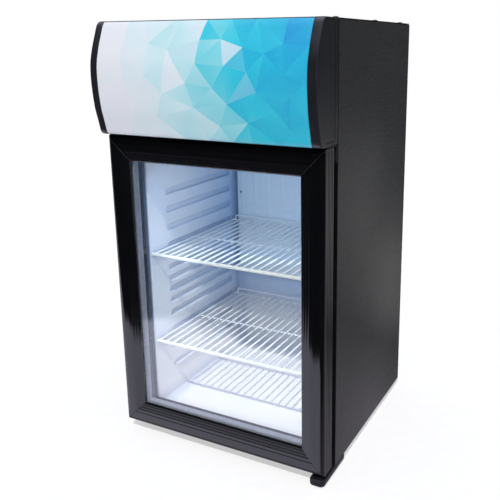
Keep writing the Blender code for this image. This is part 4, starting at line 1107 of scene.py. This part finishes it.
def build_spacer():
    """Hollow aluminium spacer: a ring whose inner face carries two rows of small perforations."""
    lo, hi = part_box("glass_spacer")
    x1, z0, z1 = hi.x, lo.z, hi.z
    y0, y1 = lo.y - Y0, hi.y - Y0
    w = 0.0080
    bm = bmesh.new()
    rows = [y0, y0 + 0.0032, y0 + 0.0044, (y0 + y1) / 2, y1 - 0.0044, y1 - 0.0032, y1]

    def side(a, b, inward):
        """One inner face from corner a to corner b in (x, z); dimples are pressed away from the glass centre."""
        a, b, inward = Vector(a), Vector(b), Vector(inward)
        length = (b - a).length
        pitch, d = 0.0030, 0.0006
        n = int((length - 0.012) / pitch)
        cuts = [0.0]
        first = (length - (n - 1) * pitch) / 2
        for k in range(n):
            cuts += [first + k * pitch - d, first + k * pitch + d]
        cuts.append(length)
        grid = []
        for c in cuts:
            p = a.lerp(b, c / length)
            grid.append([bm.verts.new((p.x, y, p.y)) for y in rows])
        for i in range(len(cuts) - 1):
            for j in range(len(rows) - 1):
                f = bm.faces.new((grid[i][j], grid[i + 1][j], grid[i + 1][j + 1], grid[i][j + 1]))
                if i % 2 == 1 and j in (1, 4):
                    quad = [bm.verts.new(v.co + Vector((-inward.x, 0, -inward.y)) * 0.0006) for v in f.verts]
                    old = list(f.verts)
                    bm.faces.remove(f)
                    strip(bm, old, quad)
                    bm.faces.new(quad)
        return [g[0] for g in grid], [g[-1] for g in grid]

    ix, iz0, iz1 = x1 - w, z0 + w, z1 - w
    sides = [side((-ix, iz0), (ix, iz0), (0, 1)), side((ix, iz0), (ix, iz1), (-1, 0)),
             side((ix, iz1), (-ix, iz1), (0, -1)), side((-ix, iz1), (-ix, iz0), (1, 0))]
    bmesh.ops.remove_doubles(bm, verts=bm.verts[:], dist=0.000005)
    # outer wall and the two edges that meet the glass
    rim = [e for e in bm.edges if len(e.link_faces) == 1]
    for y in (y0, y1):
        outer = [bm.verts.new((px, y, pz)) for px, pz in rounded(-x1, x1, z0, z1, 0.0010, 2)]
        for i in range(len(outer)):
            bm.edges.new((outer[i], outer[(i + 1) % len(outer)]))
        inner_edges = [e for e in rim if abs(e.verts[0].co.y - y) < 1e-6]
        outer_edges = [e for e in bm.edges if not e.link_faces and abs(e.verts[0].co.y - y) < 1e-6]
        bmesh.ops.triangle_fill(bm, use_beauty=True, use_dissolve=False, edges=inner_edges + outer_edges)
    ends = [e for e in bm.edges if len(e.link_faces) == 1]
    bmesh.ops.bridge_loops(bm, edges=ends)
    return bm


make("glass_spacer_bar", build_spacer(), "door", "glass_spacer", "spacer", 25)


def build_gasket():
    """Magnetic door gasket: bulb against the cabinet, bellows fold, base pressed into the door."""
    lo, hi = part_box("door_gasket")
    y0, y1 = lo.y - Y0, hi.y - Y0
    section = [(0.0004, y0), (0.0216, y0), (0.0219, y0 + 0.0006), (0.0214, y0 + 0.0017), (0.0168, y0 + 0.0030), (0.0166, y0 + 0.0036),
               (0.0204, y0 + 0.0052), (0.0206, y0 + 0.0058), (0.0166, y0 + 0.0074), (0.0166, y0 + 0.0080), (0.0210, y0 + 0.0092),
               (0.0219, y0 + 0.0104), (0.0219, y1 - 0.0010), (0.0210, y1), (0.0052, y1), (0.0042, y1 - 0.0010), (0.0042, y0 + 0.0108),
               (0.0058, y0 + 0.0094), (0.0058, y0 + 0.0088), (0.0018, y0 + 0.0072), (0.0018, y0 + 0.0066), (0.0060, y0 + 0.0050),
               (0.0060, y0 + 0.0044), (0.0008, y0 + 0.0020)]
    bm = bmesh.new()
    ix, iz0, iz1 = 0.1772, 0.0480, 0.5610
    r = 0.0020
    loops = []
    for t, y in section:
        loops.append([bm.verts.new((x, y, z)) for x, z in rounded(-ix - t, ix + t, iz0 - min(t, 0.0179) , iz1 + t, r + t, 6)])
    for a, b in zip(loops, loops[1:] + [loops[0]]):
        strip(bm, a, b)
    return bm


make("magnetic_gasket", build_gasket(), "door", "door_gasket", "gasket", 40)

for tag, node in (("upper", "door_bush_upper"), ("lower", "door_bush_lower")):
    lo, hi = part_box(node)
    bm = bmesh.new()
    rings = [loop(bm, "z", z, circle(HX, HY, r, 40)) for r, z in
             ((0.0060, lo.z + 0.0003), (0.0060, hi.z - 0.0003), (0.0057, hi.z), (0.0034, hi.z), (0.0031, hi.z - 0.0003),
              (0.0031, lo.z + 0.0003), (0.0034, lo.z), (0.0057, lo.z))]
    for a, b in zip(rings, rings[1:] + [rings[0]]):
        strip(bm, a, b)
    make(f"hinge_bush_{tag}", bm, "door", node, "nylon", 40)
for tag, node in (("upper", "hinge_pin_upper"), ("lower", "hinge_pin_lower")):
    lo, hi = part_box(node)
    make(f"hinge_pin_{tag}_turned", lathe([(0, lo.z), (0.0026, lo.z), (0.0030, lo.z + 0.0004), (0.0030, hi.z - 0.0004), (0.0026, hi.z), (0, hi.z)],
                                          "z", (HX, HY), 32), "cabinet", node, "steel", 40)

# lower hinge block: rounded gloss moulding under the door corner
lo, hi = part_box("hinge_bracket_lower")
rows = []
y0, y1 = lo.y - Y0, hi.y - Y0
for k in range(7):
    a = math.radians(90 * k / 6)
    rows.append((lo.z + 0.0022 * (1 - math.sin(a)), 0.0022 * (1 - math.cos(a))))
rows = rows[::-1]
for k in range(7):
    a = math.radians(90 * k / 6)
    rows.append((hi.z - 0.0038 * (1 - math.sin(a)), 0.0038 * (1 - math.cos(a))))
base = rounded(lo.x, hi.x, y0, y1, 0.0085, 8)
make("hinge_block_lower", stack("z", [(z, inset_outline(base, d)) for z, d in rows]), "cabinet", "hinge_bracket_lower", "gloss", 50)

# =====================================================================
# 9. Fasteners, feet
# =====================================================================
for side in ("left", "right"):
    for tag in ("front", "middle", "rear"):
        node = f"top_screw_{side}_{tag}"
        lo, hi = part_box(node)
        c = (lo + hi) / 2
        z = lo.z
        profile = [(0, z), (0.0050, z), (0.0052, z + 0.0003)]
        for k in range(1, 8):
            a = math.radians(90 * k / 8)
            profile.append((0.0052 * math.cos(a) ** 0.8, z + 0.0003 + 0.0023 * math.sin(a)))
        profile.append((0, hi.z))
        ob = make(f"cover_screw_{side}_{tag}", lathe(profile, "z", (c.x, c.y - Y0), 36), "cabinet", node, "screw", 40)
        turn = {"front": 20, "middle": 65, "rear": -12}[tag]
        slots = []
        for k in (0, 90):
            a = math.radians(turn + k)
            u, v = Vector((math.cos(a), math.sin(a))), Vector((-math.sin(a), math.cos(a)))
            o = Vector((c.x, c.y - Y0))
            quad = [tuple(o + u * p * 0.0024 + v * q * 0.00045) for p, q in ((-1, -1), (1, -1), (1, 1), (-1, 1))]
            slots.append(prism(quad, "z", hi.z - 0.0011, hi.z + 0.0010))
        carve(ob, slots, smooth=40)

for name, node, body in (("front_left", "foot_front_left", "front_foot_left"), ("front_right", "foot_front_right", "front_foot_right"),
                         ("rear_left", "foot_rear_left", "cabinet"), ("rear_right", "foot_rear_right", "cabinet")):
    lo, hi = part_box(node)
    c = (lo + hi) / 2
    profile = [(0, 0.0), (0.0120, 0.0), (0.0124, 0.0003), (0.0134, 0.0003), (0.0138, 0.0), (0.0144, 0.0001), (0.0149, 0.0007), (0.0150, 0.0016)]
    for k in range(4):                                  # grip rings on the skirt
        z = 0.0022 + 0.0016 * k
        r = 0.0149 - 0.0003 * k
        profile += [(r, z), (r - 0.0005, z + 0.0004), (r - 0.0005, z + 0.0008), (r, z + 0.0012)]
    profile += [(0.0130, 0.0089), (0.0066, 0.0096), (0.0060, 0.0100), (0.0060, 0.0147), (0, 0.0147)]
    make(f"foot_pad_{name}", lathe(profile, "z", (c.x, c.y - Y0), 40), body, node, "rubber", 35)

# =====================================================================
# 10. Cooling unit behind the canopy
# =====================================================================
lo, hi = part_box("compressor")
refined("compressor_shell", "compressor", "cabinet", "shell", 42)
for tag in "abcd":
    refined(f"grommet_{tag}", f"compressor_grommet_{tag}", "cabinet", "rubber", 35)
refined("fan_motor_can", "fan_motor", "cabinet", "galv", 40)
refined("fan_rotor", "fan_blades", "fan", "plastic", 35)
refined("fan_ring", "fan_shroud", "cabinet", "plastic", 35)
for name, node, r in (("suction_line", "suction_pipe", 0.0032), ("discharge_line", "discharge_pipe", 0.0026)):
    if node == "suction_pipe":
        path = [(-0.0300, 0.3500, 0.5926), (-0.0300, 0.3500, 0.7000), (-0.0300, 0.2600, 0.7000), (-0.0300, 0.2000, 0.7000), (-0.0382, 0.2000, 0.7000)]
        bendr = 0.012
    else:
        path = [(-0.0950, 0.1416, 0.6560), (-0.0950, 0.1100, 0.6560), (0.0700, 0.1100, 0.6560), (0.0200, 0.2000, 0.6900), (0.0200, 0.3600, 0.6900)]
        bendr = 0.015
    make(name, tube(round_corners(path, bendr, 7), r, 16, dome=False), "cabinet", node, "copper", 50)

# =====================================================================
# 11. Controls, cord and plug at the back
# =====================================================================
lo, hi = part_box("thermostat_knob")
ky = hi.y - Y0
knob = lathe([(0, 0.4063), (0.0030, 0.4063), (0.0030, 0.4080), (0.0168, 0.4080), (0.0174, 0.4084), (0.0175, 0.4095), (0.0172, 0.4100)],
             "y", (kc.x, kc.z), 72)
bm = bmesh.new()
rows = []
profile = [(0.0, 0.4063), (0.0030, 0.4063), (0.0030, 0.4080), (0.0168, 0.4080), (0.0175, 0.4085), (0.0175, 0.4096),
           (0.0164, 0.4101), (0.0158, 0.4180), (0.0150, 0.4196), (0.0140, 0.4204), (0.0, 0.4205)]
knob.free()
N = 72
for r, y in profile:
    if r == 0.0:
        rows.append([bm.verts.new((kc.x, y, kc.z))])
        continue
    ring = []
    for i in range(N):
        a = 2 * math.pi * i / N
        rr = r - (0.0006 if 0.4100 < y < 0.4200 and i % 4 in (1, 2) else 0.0)
        ring.append(bm.verts.new((kc.x + rr * math.cos(a), y, kc.z + rr * math.sin(a))))
    rows.append(ring)
for a, b in zip(rows, rows[1:]):
    for i in range(N):
        j = (i + 1) % N
        if len(a) == 1:
            bm.faces.new((a[0], b[i], b[j]))
        elif len(b) == 1:
            bm.faces.new((a[i], b[0], a[j]))
        else:
            bm.faces.new((a[i], a[j], b[j], b[i]))
knob_ob = make("temperature_knob", bm, "thermostat_dial", "thermostat_knob", "plastic", 35)
pointer = prism(rounded(kc.x - 0.0012, kc.x + 0.0012, kc.z + 0.0010, kc.z + 0.0138, 0.0011, 4), "y", 0.4190, 0.4215)
carve(knob_ob, [pointer], "UNION", smooth=35)

lo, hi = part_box("switch_bezel")
outer = rounded(lo.x, hi.x, lo.z, hi.z, 0.0022, 5)
inner = rounded(lo.x + 0.0042, hi.x - 0.0042, lo.z + 0.0042, hi.z - 0.0042, 0.0006, 5)
bm = bmesh.new()
y0, y1 = lo.y - Y0, hi.y - Y0
rings = [loop(bm, "y", y, o) for y, o in ((y0, outer), (y1 - 0.0008, outer), (y1, inset_outline(outer, 0.0008)), (y1, inset_outline(inner, -0.0006)),
                                           (y1 - 0.0006, inner), (y0, inner))]
for a, b in zip(rings, rings[1:] + [rings[0]]):
    strip(bm, a, b)
make("switch_surround", bm, "cabinet", "switch_bezel", "plastic", 35)
lo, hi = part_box("switch_rocker")
zc = (lo.z + hi.z) / 2
rock = []
for k in range(11):
    q = -1 + 0.2 * k
    rock.append((0.4112 + 0.0012 * q * q, zc + 0.0100 * q))
rock += [(0.4098, zc + 0.0098), (0.4092, zc), (0.4098, zc - 0.0098)]
bm = prism(rock, "x", lo.x, hi.x)
soften(bm, 0.00035, 2, 45)
make("switch_paddle", bm, "lamp_switch", "switch_rocker", "gloss", 35)

cord_path = round_corners([(-0.1800, 0.3800, 0.6300), (-0.1800, 0.4205, 0.6300), (-0.1800, 0.4205, 0.4200), (-0.1600, 0.4205, 0.3800), (-0.1600, 0.4205, 0.3298)],
                          [0, 0.012, 0.030, 0.030, 0], 8)
make("mains_cord", tube(cord_path, 0.0035, 20, dome=False), "cabinet", "power_cord", "rubber", 50)
lo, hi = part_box("power_plug")
px, py = (lo.x + hi.x) / 2, (lo.y + hi.y) / 2 - Y0
rows = []
for z, w, d, r in ((hi.z, 0.0052, 0.0052, 0.0050), (hi.z - 0.0015, 0.0062, 0.0060, 0.0055), (hi.z - 0.0060, 0.0070, 0.0066, 0.0060), (hi.z - 0.0068, 0.0088, 0.0080, 0.0060),
                   (hi.z - 0.0140, 0.0128, 0.0098, 0.0060), (hi.z - 0.0220, 0.0146, 0.0102, 0.0050), (hi.z - 0.0300, 0.0149, 0.0104, 0.0040),
                   (hi.z - 0.0322, 0.0149, 0.0104, 0.0034), (hi.z - 0.0330, 0.0143, 0.0098, 0.0030)):
    rows.append((z, rounded(px - w, px + w, py - d, py + d, r, 6)))
plug = stack("z", rows)
for s in (-1, 1):
    blade = prism(rounded(px + s * 0.00675 - 0.0026, px + s * 0.00675 + 0.0026, py - 0.0008, py + 0.0008, 0.0003, 2), "z", hi.z - 0.0500, hi.z - 0.0325)
    me = bpy.data.meshes.new("blade")
    blade.to_mesh(me)
    blade.free()
    plug.from_mesh(me)
plug_ob = make("mains_plug", plug, "cabinet", "power_plug", "rubber", 40)
plug_ob.data.materials.append(MAT["steel"])
for p in plug_ob.data.polygons:
    if p.center.z < hi.z - 0.0331:
        p.material_index = 1

# =====================================================================
# 12. Floor, light, camera
# =====================================================================
scene = bpy.context.scene
scene.view_settings.view_transform = "Standard"

floor_mesh = bpy.data.meshes.new("floor")
bm = bmesh.new()
bm.faces.new([bm.verts.new(p) for p in ((-6, -6, 0), (6, -6, 0), (6, 6, 0), (-6, 6, 0))])
bm.to_mesh(floor_mesh)
bm.free()
floor = bpy.data.objects.new("floor", floor_mesh)
scene.collection.objects.link(floor)
m = Nodes("studio_floor")
pos = m.add("ShaderNodeSeparateXYZ", {0: m.add("ShaderNodeNewGeometry").outputs["Position"]})
path = m.add("ShaderNodeLightPath")
# as seen in reflections the floor is a painted light map: a bright pool in front of the door, painted shade close to
# the cabinet, a ramp that dims with distance with a darker dip, and the sheen strip below
wob = m.noise(3.0, 3, 0.6)
edge = m.math("ADD", pos.outputs["Y"], m.remap(wob, 0.3, 0.7, -0.05, 0.05))
near = m.remap(edge, Y0 - 0.46, Y0 - 0.41, 0.0, 1.0)
# painted shade: the pool goes dark within about 2 cm of the door front and to the right of the cabinet side, standing
# in for the cabinet's own shadow
front = m.remap(pos.outputs["Y"], Y0 - 0.025, Y0 - 0.015, 1.0, 0.0)
lit = m.math("MULTIPLY", near, front, clamp=True)
lit = m.math("MULTIPLY", lit, m.remap(pos.outputs["X"], 0.201, 0.222, 1.0, 0.0), clamp=True)
pale = m.add("ShaderNodeBsdfDiffuse", {"Color": m.ramp(m.noise(40, 3, 0.6), [(0.3, (0.86, 0.86, 0.87)), (0.7, (0.90, 0.90, 0.91))])})
glow = m.add("ShaderNodeEmission", {"Color": (1.0, 1.0, 1.0), "Strength": 0.95})
seen = m.add("ShaderNodeMixShader", {0: m.math("MULTIPLY", path.outputs["Is Camera Ray"], 0.55), 1: pale.outputs[0], 2: glow.outputs[0]})
run = [(-0.50, (0.010, 0.012, 0.018)), (-0.24, (0.38, 0.355, 0.40)), (0.05, (0.36, 0.335, 0.385)), (0.20, (0.25, 0.235, 0.26)),
       (0.38, (0.15, 0.145, 0.160)), (0.62, (0.33, 0.33, 0.335)), (1.00, (0.34, 0.34, 0.34)), (1.50, (0.20, 0.20, 0.205)),
       (2.40, (0.105, 0.107, 0.110)), (4.00, (0.085, 0.087, 0.090)), (6.00, (0.070, 0.072, 0.075))]
shade = m.ramp(m.remap(pos.outputs["Y"], -0.6, 6.0, 0.0, 1.0), [((y + 0.6) / 6.6, c) for y, c in run])
# a lighter stretch off to the side, seen only as the slanting sheen on the side sheet
slant = m.math("SUBTRACT", m.math("MULTIPLY_ADD", m.math("SUBTRACT", pos.outputs["Y"], 0.97), 0.283, 0.66), pos.outputs["X"])
sheen = m.math("MULTIPLY", m.remap(slant, -0.05, 0.04, 1.0, 0.0), m.remap(pos.outputs["Y"], 0.6, 1.3, 0.0, 1.0), clamp=True)
shade = m.mix(sheen, shade, m.mix(m.remap(pos.outputs["Y"], 1.3, 6.0, 0.0, 1.0), (0.50, 0.50, 0.505), (0.16, 0.162, 0.166)))
shade = m.mix(lit, shade, (1.42, 1.40, 1.74))
dark = m.add("ShaderNodeEmission", {"Color": shade, "Strength": 1.0})
mixed = m.add("ShaderNodeMixShader", {0: path.outputs["Is Glossy Ray"], 1: seen.outputs[0], 2: dark.outputs[0]})
m.nt.links.new(mixed.outputs[0], m.out.inputs["Surface"])
floor_mesh.materials.append(m.mat)

world = bpy.data.worlds.new("studio")
scene.world = world
world.use_nodes = True
nt = world.node_tree
nt.nodes.clear()


def wn(kind, **kw):
    n = nt.nodes.new(kind)
    for k, v in kw.items():
        n.inputs[k].default_value = v
    return n


out = wn("ShaderNodeOutputWorld")
white = wn("ShaderNodeBackground", Color=(1, 1, 1, 1), Strength=1.0)
fill = wn("ShaderNodeBackground", Color=(0.80, 0.88, 1.0, 1), Strength=0.50)
mirror = wn("ShaderNodeBackground", Strength=1.0)
tc = wn("ShaderNodeTexCoord")
sep = wn("ShaderNodeSeparateXYZ")
nt.links.new(tc.outputs["Generated"], sep.inputs[0])
ramp = wn("ShaderNodeValToRGB")
nt.links.new(sep.outputs["Y"], ramp.inputs["Fac"])
ramp.color_ramp.elements[0].position = 0.0
ramp.color_ramp.elements[0].color = (0.022, 0.025, 0.032, 1)
ramp.color_ramp.elements[1].position = 0.8
ramp.color_ramp.elements[1].color = (0.075, 0.077, 0.082, 1)
# a tall soft panel to the front right, caught by the rounded vertical edges
panel = wn("ShaderNodeVectorMath")
panel.operation = "DOT_PRODUCT"
nt.links.new(tc.outputs["Generated"], panel.inputs[0])
panel.inputs[1].default_value = (0.74, -0.67, 0.0)
band = wn("ShaderNodeMapRange")
band.interpolation_type = "SMOOTHSTEP"
nt.links.new(panel.outputs["Value"], band.inputs["Value"])
band.inputs["From Min"].default_value, band.inputs["From Max"].default_value = 0.90, 0.985
band.inputs["To Min"].default_value, band.inputs["To Max"].default_value = 0.0, 1.0
glint = wn("ShaderNodeMix")
glint.data_type = "RGBA"
nt.links.new(band.outputs["Result"], glint.inputs["Factor"])
nt.links.new(ramp.outputs["Color"], glint.inputs[6])
glint.inputs[7].default_value = (0.60, 0.60, 0.64, 1)
zenith = wn("ShaderNodeMapRange")
zenith.interpolation_type = "SMOOTHSTEP"
nt.links.new(sep.outputs["Z"], zenith.inputs["Value"])
zenith.inputs["From Min"].default_value, zenith.inputs["From Max"].default_value = 0.42, 0.97
zenith.inputs["To Min"].default_value, zenith.inputs["To Max"].default_value = 0.0, 1.0
sky_mix = wn("ShaderNodeMix")
sky_mix.data_type = "RGBA"
nt.links.new(zenith.outputs["Result"], sky_mix.inputs["Factor"])
nt.links.new(glint.outputs[2], sky_mix.inputs[6])
sky_mix.inputs[7].default_value = (1.55, 1.48, 1.85, 1)
nt.links.new(sky_mix.outputs[2], mirror.inputs["Color"])
lp = wn("ShaderNodeLightPath")
m1, m2 = wn("ShaderNodeMixShader"), wn("ShaderNodeMixShader")
nt.links.new(lp.outputs["Is Glossy Ray"], m1.inputs[0])
nt.links.new(fill.outputs[0], m1.inputs[1])
nt.links.new(mirror.outputs[0], m1.inputs[2])
nt.links.new(lp.outputs["Is Camera Ray"], m2.inputs[0])
nt.links.new(m1.outputs[0], m2.inputs[1])
nt.links.new(white.outputs[0], m2.inputs[2])
nt.links.new(m2.outputs[0], out.inputs["Surface"])


def lamp_object(name, kind, energy, direction, colour, **props):
    data = bpy.data.lights.new(name, kind)
    data.energy = energy
    data.color = colour
    for k, v in props.items():
        setattr(data, k, v)
    ob = bpy.data.objects.new(name, data)
    scene.collection.objects.link(ob)
    ob.rotation_mode = "QUATERNION"
    ob.rotation_quaternion = Vector(direction).to_track_quat("-Z", "Y")
    return ob


key = lamp_object("key", "SUN", 3.35, (-0.22, 0.68, -1.0), (1.0, 0.975, 0.955), angle=math.radians(0.7))
key.visible_glossy = False
# cool skylight that enters through the door opening and falls back and down
for k, (z, power, tint) in enumerate(((0.110, 0.042, (0.95, 0.93, 1.0)), (0.220, 0.096, (0.64, 0.76, 1.0)),
                                      (0.330, 0.150, (0.57, 0.73, 1.0)), (0.440, 0.225, (0.50, 0.68, 1.0)))):
    sky = lamp_object(f"door_fill_{k}", "AREA", power, (-0.36, 1.0, -0.50), tint, shape="RECTANGLE", size=0.31, size_y=0.115)
    sky.location = (0.0, Y0 + 0.0820, z + 0.030)
    sky.visible_glossy = False
    sky.visible_camera = False

# camera: fitted place, aim, lens and frame offset
cam_data = bpy.data.cameras.new("camera")
cam = bpy.data.objects.new("camera", cam_data)
scene.collection.objects.link(cam)
scene.camera = cam
F_PX, CX_PX, CY_PX = 657.3, 303.0, 201.9
yaw, pitch, roll = math.radians(26.121), math.radians(-13.401), math.radians(0.174)
rot = Matrix.Rotation(yaw, 3, "Z") @ Matrix.Rotation(pitch, 3, "X") @ Matrix.Rotation(roll, 3, "Y")
right, ahead, up = rot.col[0], rot.col[1], rot.col[2]
cam_data.sensor_width = 36.0
cam_data.sensor_fit = "AUTO"
cam_data.lens = F_PX * 36.0 / 500.0
CAM_AT = Vector((0.6198, -0.9029 + Y0, 0.7468))
m4 = Matrix((right, up, -ahead)).transposed().to_4x4()
m4.translation = CAM_AT
cam.matrix_world = m4
cam_data.clip_start = 0.01


def offset_at_home(prop, value):
    """The frame offset belongs to the fitted place only: any other viewpoint is centred."""
    curve = cam_data.driver_add(prop)
    drv = curve.driver
    drv.type = "SCRIPTED"
    var = drv.variables.new()
    var.name = "cx"
    var.type = "TRANSFORMS"
    var.targets[0].id = cam
    var.targets[0].transform_type = "LOC_X"
    var.targets[0].transform_space = "WORLD_SPACE"
    drv.expression = f"{value:.5f} if abs(cx - {CAM_AT.x:.5f}) < 0.0005 else 0.0"


offset_at_home("shift_x", -(CX_PX - 250) / 500.0)
offset_at_home("shift_y", (CY_PX - 250) / 500.0)
